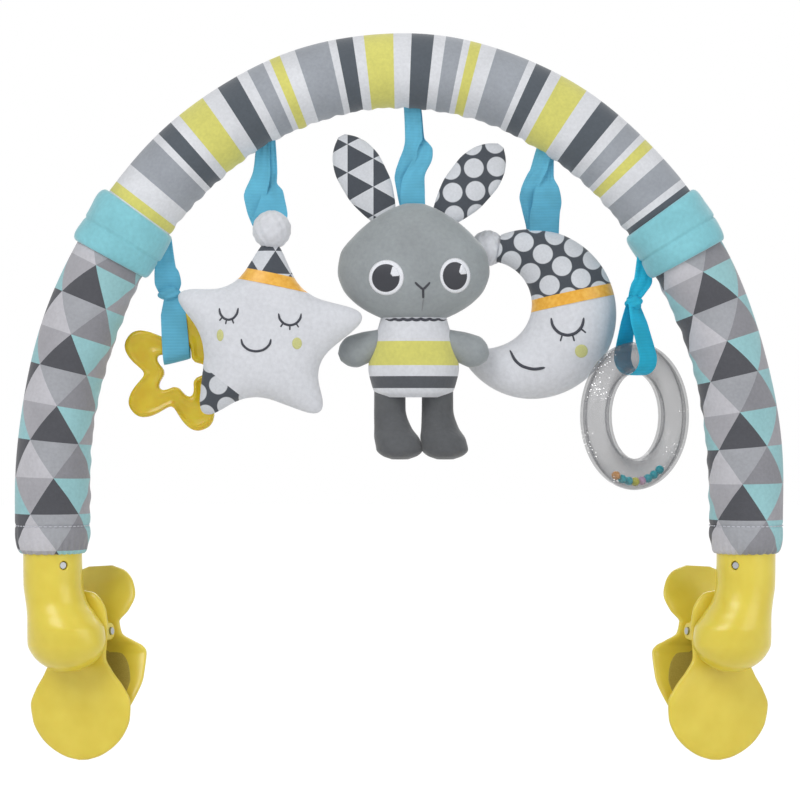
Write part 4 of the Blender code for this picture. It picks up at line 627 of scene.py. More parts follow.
def rounded_outline(corners, radii, steps):
    """Corners swept into quadratic arcs: (1-t)^2 start + 2t(1-t) corner + t^2 end."""
    before, after = np.roll(corners, 1, 0) - corners, np.roll(corners, -1, 0) - corners
    long_before = np.linalg.norm(before, axis=1, keepdims=True)
    long_after = np.linalg.norm(after, axis=1, keepdims=True)
    start = corners + before / long_before * np.minimum(radii[:, None], 0.45 * long_before)
    finish = corners + after / long_after * np.minimum(radii[:, None], 0.45 * long_after)
    t = np.linspace(0.0, 1.0, steps)[None, :, None]
    arcs = ((1 - t) ** 2 * start[:, None] + 2 * t * (1 - t) * corners[:, None]
            + t ** 2 * finish[:, None])
    return arcs.reshape(-1, 2)


corners, radii = [], []
for (arm, reach), (notch, depth) in zip(star_arms, star_notches):
    for turn, distance, radius in ((arm, 0.064 * reach + 0.003, 0.017), (notch, 0.039 * depth, 0.015)):
        corners.append([distance * math.cos(math.radians(turn)), distance * math.sin(math.radians(turn))])
        radii.append(radius)
outline = rounded_outline(np.array(corners), np.array(radii), 9)
steps = np.linalg.norm(np.diff(np.vstack([outline, outline[:1]]), axis=0), axis=1)
path = np.concatenate([[0.0], np.cumsum(steps)])
even = np.linspace(0.0, path[-1], 301)[:-1]
closed = np.vstack([outline, outline[:1]])
star_edge = np.stack([np.interp(even, path, closed[:, k]) for k in (0, 1)], 1) + [star_x, star_z]
star_height = inflate(star_edge, 0.0165)

share = np.sin(np.radians(np.linspace(2.0, 90.0, 46)))[:, None, None]
plan = np.array([star_x, star_z]) + share * (star_edge - [star_x, star_z])[None]
plan = plan[:, ::-1]
high = star_height(plan[..., 0], plan[..., 1])
high[-1] = 0.0
front = np.stack([plan[..., 0], star_y - high, plan[..., 1]], -1)
back = np.stack([plan[..., 0], star_y + high, plan[..., 1]], -1)[::-1][1:]
star_points = np.vstack([front, back])

white_velour = pile(new_material("white_velour", "#D8DAE0", 0.95, Sheen_Weight=0.4,
                                 Sheen_Roughness=0.4), "#D8DAE0", 0.0012, 0.0004, mottle=0.04)
satin = new_material("orange_satin", "#EDB139", 0.35, Sheen_Weight=0.2, Anisotropic=0.5)
shine = noise(satin, 0.0013, 2.0)
finish_with(satin, ramp(satin, shine, [(0.3, "#E5A32A"), (0.7, "#F2BC4C")], "LINEAR"), shine, 0.2)


def dotted(name, spacing, dot, turn, at):
    """Dark cotton with pale dots on a square lattice, turned in degrees, one dot's middle at the
    place (x, z): the distance to the nearest lattice point is cut off at the dot's radius."""
    material = new_material(name, "#464B53", 0.9, Sheen_Weight=0.2)
    c, s = math.cos(math.radians(turn)), math.sin(math.radians(turn))
    x, down = at[0] / spacing, -at[1] / spacing
    place = add_node(material, "TexCoord").outputs["Object"]
    upright = add_node(material, "Mapping", {"Vector": place,
                                             "Rotation": (math.radians(90.0), 0.0, 0.0)})
    turned = add_node(material, "Mapping", {
        "Vector": upright.outputs[0], "Rotation": (0.0, 0.0, math.radians(turn)),
        "Location": (s * down - c * x, -s * x - c * down, 0.0),
        "Scale": (1.0 / spacing,) * 3})
    cells = add_node(material, "TexVoronoi", {"Vector": turned.outputs[0], "Scale": 1.0,
                                              "Randomness": 0.0}, voronoi_dimensions="2D")
    edge = ramp(material, cells.outputs["Distance"],
                [(0.0, "#D0D3D9"), (dot / spacing - 0.01, "#D0D3D9"), (dot / spacing + 0.02, "#464B53")],
                "LINEAR")
    return pile(material, edge, 0.0006, 0.0002, mottle=0.05)


def small_triangles(name, base, row, at, sideways=False):
    """Cotton with dark and pale triangles in rows across the front, or up it, counted from a
    place (x, z) where a row starts and two triangles meet."""
    material = new_material(name, "#9196A0", 0.9, Sheen_Weight=0.2)
    place = add_node(material, "TexCoord").outputs["Object"]
    moved = add_node(material, "VectorMath", {0: place, 1: (at[0], 0.0, at[1])}, operation="SUBTRACT")
    place = add_node(material, "SeparateXYZ", {0: moved.outputs[0]}).outputs
    across, up = (place["Z"], place["X"]) if sideways else (place["X"], place["Z"])
    shown = triangle_print(material, across, up, base, row,
                           ["#464B53", "#D0D3D9"], ["#464B53", "#D0D3D9"])
    return pile(material, shown, 0.0006, 0.0002, mottle=0.05)


def keep_between(piece, planes):
    """Cut a closed piece by planes, each a point and the normal of the side that stays, and
    close each cut."""
    work = bmesh.new()
    work.from_mesh(piece.data)
    for point, normal in planes:
        got = bmesh.ops.bisect_plane(work, geom=work.verts[:] + work.edges[:] + work.faces[:],
                                     plane_co=Vector(point), plane_no=Vector(normal),
                                     clear_inner=True)
        bmesh.ops.holes_fill(work, edges=[e for e in got["geom_cut"]
                                          if isinstance(e, bmesh.types.BMEdge)])
    bmesh.ops.recalc_face_normals(work, faces=work.faces)
    work.to_mesh(piece.data)
    work.free()
    piece.data.shade_smooth()
    piece.data.set_sharp_from_angle(angle=math.radians(50.0))
    return piece


cap_turn, foot_turn = math.radians(84.5), math.radians(-128.6)
cap_normal = np.array([math.cos(math.radians(78.5)), 0.0, math.sin(math.radians(78.5))])
cap_start = np.array([star_x + 0.043 * math.cos(cap_turn), star_y, star_z + 0.043 * math.sin(cap_turn)])
band_start = cap_start - 0.0072 * cap_normal
foot_normal = np.array([math.cos(foot_turn), 0.0, math.sin(foot_turn)])
foot_start = np.array([star_x, star_y, star_z]) + 0.031 * foot_normal
proud = np.array([1.0, 1.05, 1.0])
star_middle = np.array([star_x, star_y, star_z])
for name, material, slot, node, planes, grow in (
        ("star_plush", white_velour, "white_plush", "star_body",
         [(band_start, -cap_normal), (foot_start, -foot_normal)], 1.0),
        ("star_cap_cloth", small_triangles("triangle_cotton", 0.0176, 0.0138, (-0.0822, 0.2630)), "triangle_cloth",
         "star_cap", [(cap_start, cap_normal)], 1.0),
        ("star_satin_band", satin, "orange_satin", "star_cap_band",
         [(band_start, cap_normal), (cap_start, -cap_normal)], 1.03),
        ("star_dotted_foot", dotted("dotted_cotton", 0.0135, 0.0055, 20.0, (-0.115, 0.180)), "dotted_cloth",
         "star_foot_patch", [(foot_start, foot_normal)], 1.0)):
    points = star_points.copy()
    points[..., 1] = star_y + (points[..., 1] - star_y) * grow
    piece = keep_between(skin(name, points, material, "star"), planes)
    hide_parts(node)


def ball(name, centre, radius, material, body):
    """A pompom: a globe with a tufted surface, radius (1 + small waves of both angles)."""
    fall = np.radians(np.linspace(3.0, 177.0, 40))[:, None]
    turn = np.radians(np.linspace(0.0, 360.0, 73))[None, :-1]
    tufts = 1.0 + 0.025 * np.sin(9.0 * turn + 3.0 * fall) * np.sin(8.0 * fall) \
        + 0.02 * np.sin(14.0 * turn - 5.0 * fall) * np.sin(fall) ** 2
    r = radius * 0.985 * tufts
    points = np.stack(np.broadcast_arrays(centre[0] + r * np.sin(fall) * np.cos(turn),
                                          centre[1] + r * np.sin(fall) * np.sin(turn),
                                          centre[2] + r * np.cos(fall)), -1)
    return skin(name, points, material, body)


def on_front(piece, x, z):
    """Where rays from the front meet a piece at the places (x, z)."""
    tree = BVHTree.FromObject(piece, bpy.context.evaluated_depsgraph_get())
    x, z = np.broadcast_arrays(x, z)
    found = [tree.ray_cast(Vector((a, -1.0, b)), Vector((0.0, 1.0, 0.0)))[0]
             for a, b in zip(x.ravel().tolist(), z.ravel().tolist())]
    y = [v.y if v else np.nan for v in found]
    return np.stack([x, np.nan_to_num(np.reshape(y, x.shape), nan=np.nanmax(y)), z], -1)


def photo(px, py):
    """A place in the photograph as x and z on the toys' fronts, 0.6 mm to a pixel in the arch's
    plane and 1.5 % less on them, as they're nearer to the camera."""
    pixel = 0.985 * 0.0006
    return (np.asarray(px, float) - 399.3) * pixel, 0.1884 + (400.0 - np.asarray(py, float)) * pixel


def stitches(piece, lines, width):
    """Satin stitches: ridges of thread along lines of pixels, laid on a piece's front."""
    grids = []
    for line in lines:
        rows = smooth_rows(line, 8 * len(line))
        centre = on_front(piece, *photo(rows[:, 0], rows[:, 1]))
        along = np.gradient(centre, axis=0)
        along /= np.linalg.norm(along, axis=1, keepdims=True)
        level = np.cross(along, [0.0, -1.0, 0.0])
        turn = np.radians(np.linspace(0.0, 360.0, 13))[None, :-1, None]
        ends = (1.0 - np.linspace(-1.0, 1.0, len(rows)) ** 8)[:, None, None] ** 0.5 + 0.05
        grids.append(centre[:, None] + 0.5 * width * ends * (
            np.cos(turn) * level[:, None] + 0.7 * np.sin(turn) * np.array([0.0, -1.0, 0.0])))
    return grids


def curve(left, right, top, drop, count=9):
    """Half an ellipse hanging between two places, in pixels: x = middle - w cos, y = top + d sin."""
    turn = np.radians(np.linspace(0.0, 180.0, count))
    return np.stack([0.5 * (left + right) - 0.5 * (right - left) * np.cos(turn),
                     top + drop * np.sin(turn)], 1)


def lashes(left, right, top, drop, turns, length=4.0):
    """Short strokes outwards from such a curve, at angles in degrees."""
    turn = np.radians(np.array(turns, float))
    x = 0.5 * (left + right) + 0.5 * (right - left) * np.cos(turn)
    y = top + drop * np.sin(turn)
    return [np.array([[a, b], [a + length * math.cos(w), b + length * math.sin(w)]])
            for a, b, w in zip(x, y, turn)]


def patch(piece, px, py, width, height, lift):
    """A round of satin stitch, in pixels and metres: rings that rise over the cloth and turn in."""
    share = np.array([0.04, 0.3, 0.55, 0.8, 0.93, 1.0, 0.9, 0.5, 0.04])[:, None]
    raised = lift * np.array([1.0, 1.0, 0.98, 0.9, 0.7, 0.0, -0.6, -0.6, -0.6])[:, None]
    turn = np.radians(np.linspace(0.0, 360.0, 49))[None, :-1]
    x, z = photo(px, py)
    points = on_front(piece, x + 0.5 * width * share * np.cos(turn),
                      z + 0.5 * height * share * np.sin(turn))
    return points - np.array([0.0, 1.0, 0.0]) * raised[..., None]


dark_thread = thread("dark_embroidery_thread", "#2C2F3B")
cheek_thread = thread("lime_embroidery_thread", "#C6C683")
star_plush = bpy.data.objects["star_plush"]
left_eye, right_eye = (219.6, 238.7, 308.0, 12.0), (279.0, 301.5, 313.5, 12.0)
lines = [curve(*left_eye), curve(*right_eye), curve(241.8, 271.6, 339.0, 12.5)]
short = lashes(*left_eye, (130.0, 102.0, 69.0), 5.0) + lashes(*right_eye, (125.0, 90.0, 57.0), 5.0)
skin("star_sleeping_face", stitches(star_plush, lines, 0.0014) + stitches(star_plush, short, 0.0009),
     dark_thread, "star")
skin("star_cheeks", [patch(star_plush, 220.6, 335.5, 0.0042, 0.0070, 0.0003),
                     patch(star_plush, 297.4, 343.6, 0.0058, 0.0070, 0.0003)], cheek_thread, "star")

star_ball = np.array([star_x + 0.0685 * math.cos(cap_turn), star_y, star_z + 0.0685 * math.sin(cap_turn)])
pompom = ball("star_pompom_plush", star_ball, 0.0115, white_velour, "star")
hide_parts("star_pompom")

# The plush rabbit: grey velour head, arms and dark legs, a body of striped velour and two ears
# of printed cotton, all stuffed and sewn fast.

rabbit_x = 0.0086
head_shares = [(0.0, 0.18, 0.25), (0.023, 0.33, 0.45), (0.088, 0.575, 0.68), (0.18, 0.79, 0.84),
               (0.29, 0.935, 0.95), (0.43, 1.0, 1.0), (0.58, 0.965, 0.97), (0.736, 0.78, 0.84),
               (0.86, 0.56, 0.64), (0.945, 0.35, 0.42), (1.0, 0.14, 0.2)]
body_shares = [(0.0, 0.70, 0.72), (0.05, 0.85, 0.84), (0.17, 0.94, 0.94), (0.34, 1.0, 1.0),
               (0.6, 0.9, 0.92), (0.85, 0.76, 0.8), (1.0, 0.68, 0.7)]
ear_shares = [(0.0, 0.5, 0.8), (0.15, 0.74, 0.95), (0.38, 0.97, 1.0), (0.6, 1.0, 1.0),
              (0.79, 0.84, 0.9), (0.92, 0.52, 0.7), (1.0, 0.16, 0.3)]
arm_shares = [(0.0, 0.62, 0.7), (0.25, 0.78, 0.85), (0.5, 0.95, 1.0), (0.72, 1.0, 1.0),
              (0.9, 0.72, 0.75), (1.0, 0.25, 0.3)]
leg_shares = [(0.0, 0.0, 0.0, 0.0), (0.3, 0.02, 0.0, 0.0), (0.55, 0.35, 0.3, 0.35),
              (0.72, 0.85, 0.75, 0.85), (0.86, 0.92, 1.0, 1.0), (0.95, 0.25, 1.05, 1.05),
              (1.0, -0.9, 1.05, 1.05)]


def stuffed(name, root, up, across, length, half_width, half_depth, shares, material, body):
    """A stuffed form: ovals on an axis, place, width and depth from an evened table."""
    up, across = np.array(up, float), np.array(across, float)
    deep = np.cross(up, across)
    rows = smooth_rows(shares, 72)
    a, b = oval(80, 2.0)
    points = (np.array(root) + up * (length * rows[:, 0])[:, None, None]
              + across * (half_width * rows[:, 1:2] * a)[..., None]
              + deep * (half_depth * rows[:, 2:3] * b)[..., None])
    return skin(name, points, material, body)


grey_velour = pile(new_material("grey_velour", "#999FA2", 0.95, Sheen_Weight=0.5,
                                Sheen_Roughness=0.4), "#999FA2", 0.0012, 0.0005, mottle=0.10)
dark_velour = pile(new_material("dark_velour", "#5B5D60", 0.95, Sheen_Weight=0.4,
                                Sheen_Roughness=0.4), "#5B5D60", 0.0012, 0.0005, mottle=0.12)
striped_velour = new_material("striped_velour", "#DBDDE2", 0.95, Sheen_Weight=0.3)
up_body = add_node(striped_velour, "SeparateXYZ",
                   {0: add_node(striped_velour, "TexCoord").outputs["Object"]})
height = add_node(striped_velour, "MapRange", {"Value": up_body.outputs["Z"], "From Min": 0.1900,
                                               "From Max": 0.2420})
bands = ramp(striped_velour, height.outputs["Result"],
             [(0.0, "#D8DAE0"), (0.104, "#54575D"), (0.242, "#D8DAE0"), (0.367, "#D6D270"),
              (0.643, "#D8DAE0"), (0.98, "#54575D")])
pile(striped_velour, bands, 0.0011, 0.0004)

for name, node, slot, piece in (
        ("rabbit_head", "bunny_head", "gray_plush",
         stuffed("rabbit_head", (rabbit_x, 0, 0.2343), (0, 0, 1), (1, 0, 0), 0.0717, 0.0456, 0.027,
                 head_shares, grey_velour, "bunny")),
        ("rabbit_body", "bunny_body", "striped_plush",
         stuffed("rabbit_body", (rabbit_x, 0, 0.1900), (0, 0, 1), (1, 0, 0), 0.052, 0.0272, 0.0200,
                 body_shares, striped_velour, "bunny"))):
    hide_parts(node)

dot_cotton = dotted("ear_dotted_cotton", 0.0137, 0.0058, 4.0, (0.0446, 0.3272))
ear_triangles = small_triangles("ear_triangle_cotton", 0.0170, 0.0155, (-0.0310, 0.3245), True)
for side, name, splay, cotton, slot in ((-1.0, "right", 28.0, ear_triangles, "triangle_cloth"),
                                        (1.0, "left", 39.0, dot_cotton, "dotted_cloth")):
    c, s = math.cos(math.radians(splay)), math.sin(math.radians(splay))
    ear = stuffed("rabbit_%s_ear" % name, (rabbit_x + side * 0.017, 0, 0.3010 - 0.0036),
                  (side * s, 0, c), (c, 0, -side * s), 0.056, 0.0145, 0.0045, ear_shares, cotton,
                  "bunny")
    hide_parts("bunny_%s_ear" % name)
    c, s = math.cos(math.radians(21.0)), math.sin(math.radians(21.0))
    arm = stuffed("rabbit_%s_arm" % name, (rabbit_x + side * 0.013, 0, 0.2262), (side * c, 0, -s),
                  (side * s, 0, c), 0.0338, 0.0098, 0.0088, arm_shares, grey_velour, "bunny")
    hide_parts("bunny_%s_arm" % name)
    rows = smooth_rows(leg_shares, 72)
    a, b = oval(64, 2.0)
    radius = 0.0094 + 0.0049 * rows[:, 1:2]
    x = rabbit_x + side * 0.0143 + (0.00505 - 0.00075 * side) * rows[:, 2:3] + radius * a
    y = -0.008 * rows[:, 3:4] + radius * b
    leg = skin("rabbit_%s_leg" % name, np.stack([x, y, 0.196 - 0.043 * rows[:, 0:1] + 0.0 * x], -1),
               dark_velour, "bunny")
    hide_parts("bunny_%s_leg" % name)

head = bpy.data.objects["rabbit_head"]
white_thread = thread("white_embroidery_thread", "#E6E8EE")
black_thread = thread("black_embroidery_thread", "#2D2F37")
for name, px, py, wide in (("right", 386.2, 277.6, 1.0), ("left", 455.4, 275.4, 0.88)):
    skin("rabbit_%s_eye_white" % name, patch(head, px, py, 0.0209 * wide, 0.0209, 0.0004),
         white_thread, "bunny")
    pupil = skin("rabbit_%s_pupil" % name, patch(head, px - 0.4, py + 0.4, 0.0172 * wide, 0.0172,
                                                 0.0008), black_thread, "bunny")
    # The glint is a wedge of stitches fanned from a point in the pupil out to its rim
    fan = [np.array([[px + 5.4 * wide, py - 2.4], [px + (5.4 + share * (14.1 * math.cos(a) - 5.4)) * wide,
                                                  py - 2.4 - share * (14.1 * math.sin(a) - 2.4)]])
           for a in np.radians([12.0, 21.0, 30.0, 39.0, 48.0, 56.0]) for share in (0.93,)]
    skin("rabbit_%s_eye_glint" % name, stitches(pupil, fan, 0.0017), white_thread, "bunny")
nose = [np.array([[414.8, 282.2], [418.9, 286.1], [423.0, 288.9], [426.6, 286.1], [430.1, 282.2]]),
        np.array([[423.0, 288.3], [423.2, 298.5]])]
skin("rabbit_nose", stitches(head, nose, 0.0014), black_thread, "bunny")
# The seam down the muzzle, and the blanket stitch round the neck
chin = [np.array([[x, 318.4 + 1.2 * abs(math.sin(0.36 * (x - 386.0)))] for x in np.arange(385.0, 449.0, 1.5)])]
grey_seam = thread("grey_sewing_thread", "#7D8084")
skin("rabbit_muzzle_seam", stitches(head, [np.array([[423.4, 299.0], [422.6, 305.0], [422.0, 311.0]])],
                                    0.0008), grey_seam, "bunny")
skin("rabbit_neck_stitch", stitches(bpy.data.objects["rabbit_body"], chin, 0.0018), dark_thread, "bunny")

# The plush moon: a stuffed crescent of white velour with a dotted nightcap, a satin band and a
# pompom, and an embroidered sleeping face.

moon_y = 0.0195
outer_middle, outer_radius = np.array([0.0802, 0.2406]), 0.0516
inner_middle, inner_radius = np.array([0.0544, 0.2466]), 0.0260


def crescent(count):
    """Middle, half width and direction of the crescent's sections.

    A ray from the inner circle's centre meets the outer circle at -b + sqrt(b^2 - c), and the
    lower tip narrows as a quarter circle."""
    turn = np.radians(np.linspace(80.0, -132.0, count))
    ray = np.stack([np.cos(turn), np.sin(turn)], 1)
    offset = inner_middle - outer_middle
    b = ray @ offset
    reach = -b + np.sqrt(b * b - offset @ offset + outer_radius ** 2)
    half = 0.5 * (reach - inner_radius)
    left = np.clip(3.0 * (1.012 - np.linspace(0.0, 1.0, count)), 0.0, 1.0)
    return inner_middle + ray * (inner_radius + half)[:, None], half * np.sqrt(left * (2 - left)), ray


middle, half, ray = crescent(160)
widest = half.max()
a, b = oval(72, 2.0)
plan = middle[:, None] + ray[:, None] * (half[:, None] * a)[..., None]
deep = (0.0165 * (half / widest) ** 0.7)[:, None] * b
moon_points = np.stack([plan[..., 0], moon_y + deep, plan[..., 1]], -1)
slope = math.radians(12.0)
normal = np.array([-math.sin(slope), 0.0, math.cos(slope)])
band_middle = np.array([0.1035, moon_y, 0.2502])
for name, material, slot, node, planes, grow in (
        ("moon_plush", white_velour, "white_plush", "moon_body",
         [(band_middle - 0.0036 * normal, -normal)], 1.0),
        ("moon_cap_cloth", dotted("moon_dotted_cotton", 0.0136, 0.0059, -33.0, (0.0979, 0.2690)), "dotted_cloth",
         "moon_cap", [(band_middle + 0.0036 * normal, normal)], 1.0),
        ("moon_satin_band", satin, "orange_satin", "moon_cap_band",
         [(band_middle - 0.0036 * normal, normal), (band_middle + 0.0036 * normal, -normal)], 1.03)):
    points = moon_points.copy()
    points[..., 1] = moon_y + (points[..., 1] - moon_y) * grow
    piece = keep_between(skin(name, points, material, "moon"), planes)
    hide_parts(node)
pompom = ball("moon_pompom_plush", (0.0538, moon_y + 0.003, 0.2808), 0.0108, white_velour, "moon")
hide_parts("moon_pompom")

moon_plush = bpy.data.objects["moon_plush"]
eye = (553.9, 587.0, 316.0, 18.0)
lines = [curve(*eye), np.array([[512.1, 348.7], [518.0, 360.0], [526.0, 366.0], [537.0, 368.5],
                                [548.0, 367.0]])]
short = lashes(*eye, (108.0, 73.0, 38.0), 7.5)
skin("moon_sleeping_face", stitches(moon_plush, lines, 0.0018) + stitches(moon_plush, short, 0.0010),
     dark_thread, "moon")
skin("moon_cheek", [patch(moon_plush, 584.7, 350.2, 0.0080, 0.0080, 0.0003)], cheek_thread, "moon")

# The five ribbons: blue grosgrain 16 mm wide, tied or folded over between the arch and its toy.
# Each free end is a strand whose middle, depth and half width come from a table in millimetres.

ribbon_width = 0.016


def strand(table, across, pleat=0.0, count=70):
    """A strand's grid: flat ovals along the evened middles, broad along across; pleats lift
    them by a sine of the place across the ribbon, the more the narrower it is drawn in."""
    rows = 0.001 * smooth_rows(table, count)
    centre, half = rows[:, :3], rows[:, 3]
    along = np.gradient(centre, axis=0)
    across = np.broadcast_to(np.array(across, float), centre.shape)
    deep = np.cross(along, across)
    deep /= np.linalg.norm(deep, axis=1, keepdims=True)
    a, b = oval(36, 2.6)
    drawn = np.clip(1.0 - half / (0.55 * ribbon_width), 0.0, 1.0)[:, None]
    waves = 0.001 * pleat * drawn * np.sin(7.0 * a + 0.5 + 40.0 * np.linspace(0, 0.1, count)[:, None])
    return (centre[:, None] + across[:, None] * (half[:, None] * a)[..., None]
            + deep[:, None] * (0.00045 * b + waves)[..., None])


def tuck(points, radius, reach=0.006):
    """Draw a strand's upper rows to just inside the arch's underside, found by x."""
    centre, outward = along_arch(np.linspace(-half_arc[-1], half_arc[-1], 4000))
    under = centre - (radius - 0.0012) * outward
    part = np.sqrt(under[:, 0] ** 2) < 0.170
    goal = np.interp(points[..., 0], under[part, 0], under[part, 2])
    share = np.clip(1.0 - np.arange(len(points)) / 9.0, 0.0, 1.0)[:, None] ** 1.5
    points[..., 2] += share * (goal - points[..., 2])
    return points


def knot(middle, size, lean, count=48):
    """A drawn-up knot: a globe with slanting folds, radius 1 + 0.1 sin(3 turn + 5 fall)."""
    fall = np.radians(np.linspace(4.0, 176.0, count))[:, None]
    turn = np.radians(np.linspace(0.0, 360.0, 61))[None, :-1]
    r = 1.0 + 0.10 * np.sin(3.0 * turn + 5.0 * fall + lean) * np.sin(fall)
    return np.stack(np.broadcast_arrays(
        0.001 * (middle[0] + size[0] * r * np.sin(fall) * np.cos(turn)),
        0.001 * (middle[1] + size[1] * r * np.sin(fall) * np.sin(turn)),
        0.001 * (middle[2] + size[2] * r * np.cos(fall))), -1)


def ribbon_cloth(name, colour, thinness):
    """Grosgrain: ribs of 0.9 mm straight across the ribbon, with a low silky gleam; the thin cloth
    lets some of the light behind it through."""
    material = new_material(name, colour, 0.7, Sheen_Weight=0.2, Sheen_Roughness=0.35)
    up = add_node(material, "SeparateXYZ", {0: add_node(material, "TexCoord").outputs["Object"]})
    phase = add_node(material, "Math", {0: up.outputs["Z"], 1: 2.0 * math.pi / 0.0009},
                     operation="MULTIPLY")
    ribs = add_node(material, "Math", {0: phase.outputs[0]}, operation="SINE").outputs[0]
    light = add_node(material, "MapRange", {"Value": ribs, "From Min": -1.0, "To Min": 0.90,
                                            "To Max": 1.06}).outputs["Result"]
    broad = add_node(material, "MapRange", {"Value": noise(material, 0.006), "To Min": 0.78,
                                            "To Max": 1.18}).outputs["Result"]
    both = add_node(material, "Math", {0: light, 1: broad}, operation="MULTIPLY").outputs[0]
    shaded = add_node(material, "VectorMath", {0: srgb(colour)[:3], "Scale": both}, operation="SCALE")
    through = add_node(material, "BsdfTranslucent", {"Color": shaded.outputs[0]}).outputs[0]
    nodes = material.node_tree.nodes
    mixed = add_node(material, "MixShader", {0: thinness, 1: nodes["Principled BSDF"].outputs[0],
                                             2: through})
    material.node_tree.links.new(mixed.outputs[0], nodes["Material Output"].inputs["Surface"])
    return finish_with(material, shaded.outputs[0], ribs, 0.5, 0.0002)


soft_blue = ribbon_cloth("blue_ribbon_cloth", "#6AC4E4", 0.15)
deep_blue = ribbon_cloth("deep_blue_grosgrain", "#36D4F0", 0.4)
flat = (1.0, 0.0, 0.0)
# Columns: x, y, z and half width, from the arch down
star_strands = [
    strand([(-82, -0.6, 336.6, 4.2), (-82.4, -2.0, 325.6, 5.4), (-85.6, -4.4, 313.6, 7.0),
            (-86.4, -4.6, 310, 6.8), (-85.6, -6.4, 301, 5.6), (-82.5, -11, 290.7, 4.5)],
           (0.98, -0.2, 0), 0.7),
    strand([(-77.6, 0.8, 335.5, 3.2), (-77, 0.6, 325.6, 3.8), (-77, -0.8, 319, 3.6), (-75.6, -3.6, 313.6, 6.0),
            (-75.8, -6.6, 308, 7.6), (-76, -9.2, 302.7, 9), (-76.5, -11.4, 298, 10),
            (-77, -12.5, 291, 9.6)], (0.98, 0.15, 0), 0.6)]
bunny_strands = [
    strand([(7.35, -0.6, 361, 4.9), (8.7, -1.2, 345.7, 5.4), (6.9, -1.6, 339, 4.5), (5, -1.2, 332, 5.3),
            (2.5, 0, 325.5, 4.9), (1.6, 0.8, 321, 4.5), (2.2, 1.0, 311.7, 3.5), (4, 1, 301, 3)],
           (0.98, -0.2, 0), 0.8),
    strand([(9, 1.0, 361, 4), (12, 0.9, 345.7, 3), (13.8, 0.2, 342, 4.2), (15.0, -0.6, 339, 5.0),
            (13.4, -1.6, 332, 6.2), (10.2, -2.2, 325.5, 6.2), (8.5, -2.4, 321, 6.8),
            (8, -2.0, 311.7, 7.5), (8.5, 0, 300, 7.5)], (0.98, 0.12, 0), 0.8)]
moon_strands = [
    strand([(87, -0.6, 331, 4.4), (82.6, 0.6, 324.6, 5.5), (78.6, 3.6, 315, 5.6), (78.2, 6.6, 310.8, 5.9),
            (79, 12, 303, 4.8), (80, 17.6, 292, 3), (80.5, 19.5, 286, 3)], (0.98, -0.15, 0), 0.8),
    strand([(90, 1.0, 330, 2.8), (89.5, 2.6, 322.5, 3.4), (88.9, 2.6, 315.8, 7.3), (89, 5.8, 307.8, 8.9),
            (88, 10.4, 301, 9.2), (87.8, 15.2, 293, 9.2), (88, 18.6, 284, 8.8)], (0.98, 0.12, 0), 0.7)]
for name, strands, length in (("star", star_strands, 0.088), ("bunny", bunny_strands, 0.122),
                              ("moon", moon_strands, 0.094)):
    for grid in strands:
        tuck(grid, sleeve_radius)
    piece = skin(name + "_tied_ribbon", strands, soft_blue, name, sharp=60.0)
    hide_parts(name + "_ribbon")

# The teether: one soft moulding of tinted clear plastic, a lobed star round a star-shaped hole
# with a raised rim along both edges.

teether_clear = new_material("soft_tinted_pvc", "#E0C424", 0.22, IOR=1.5, Transmission_Weight=0.25,
                             Subsurface_Weight=0.4)
teether_clear.node_tree.nodes["Principled BSDF"].inputs["Subsurface Scale"].default_value = 0.006
# Its tint pools and thins by a few millimetres, as clear soft plastic's does
cloud = noise(teether_clear, 0.0055, 2.0)
finish_with(teether_clear, ramp(teether_clear, cloud, [(0.3, "#DABB1C"), (0.7, "#E6CF2E")], "LINEAR"),
            cloud, 0.1)
turn = np.radians(np.linspace(0.0, 360.0, 361))[:-1, None]
wave = np.cos(5.0 * (turn - math.radians(4.0)))
outer_edge = 0.0378 - 0.0156 * (0.5 * (1.0 - wave)) ** 1.3
hole_edge = 0.0100 + 0.0062 * (0.5 * (1.0 + wave)) ** 1.5
section = smooth_rows([(0.0, 0.0), (0.0, 0.5), (0.05, 0.86), (0.14, 1.0), (0.24, 0.9), (0.38, 0.8),
                       (0.62, 0.8), (0.76, 0.9), (0.86, 1.0), (0.95, 0.86), (1.0, 0.5),
                       (1.0, 0.0)], 56)
section = np.vstack([section, section[::-1][1:-1] * [1.0, -1.0]])
reach = hole_edge + (outer_edge - hole_edge) * section[None, :, 0]
teether = skin("star_teether_moulding",
               np.stack([-0.1316 + reach * np.cos(turn), 0.0062 + 0.0045 * section[None, :, 1]
                         + 0.0 * reach, 0.2058 + reach * np.sin(turn)], -1),
               teether_clear, "teether", along=True)
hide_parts("star_teether")


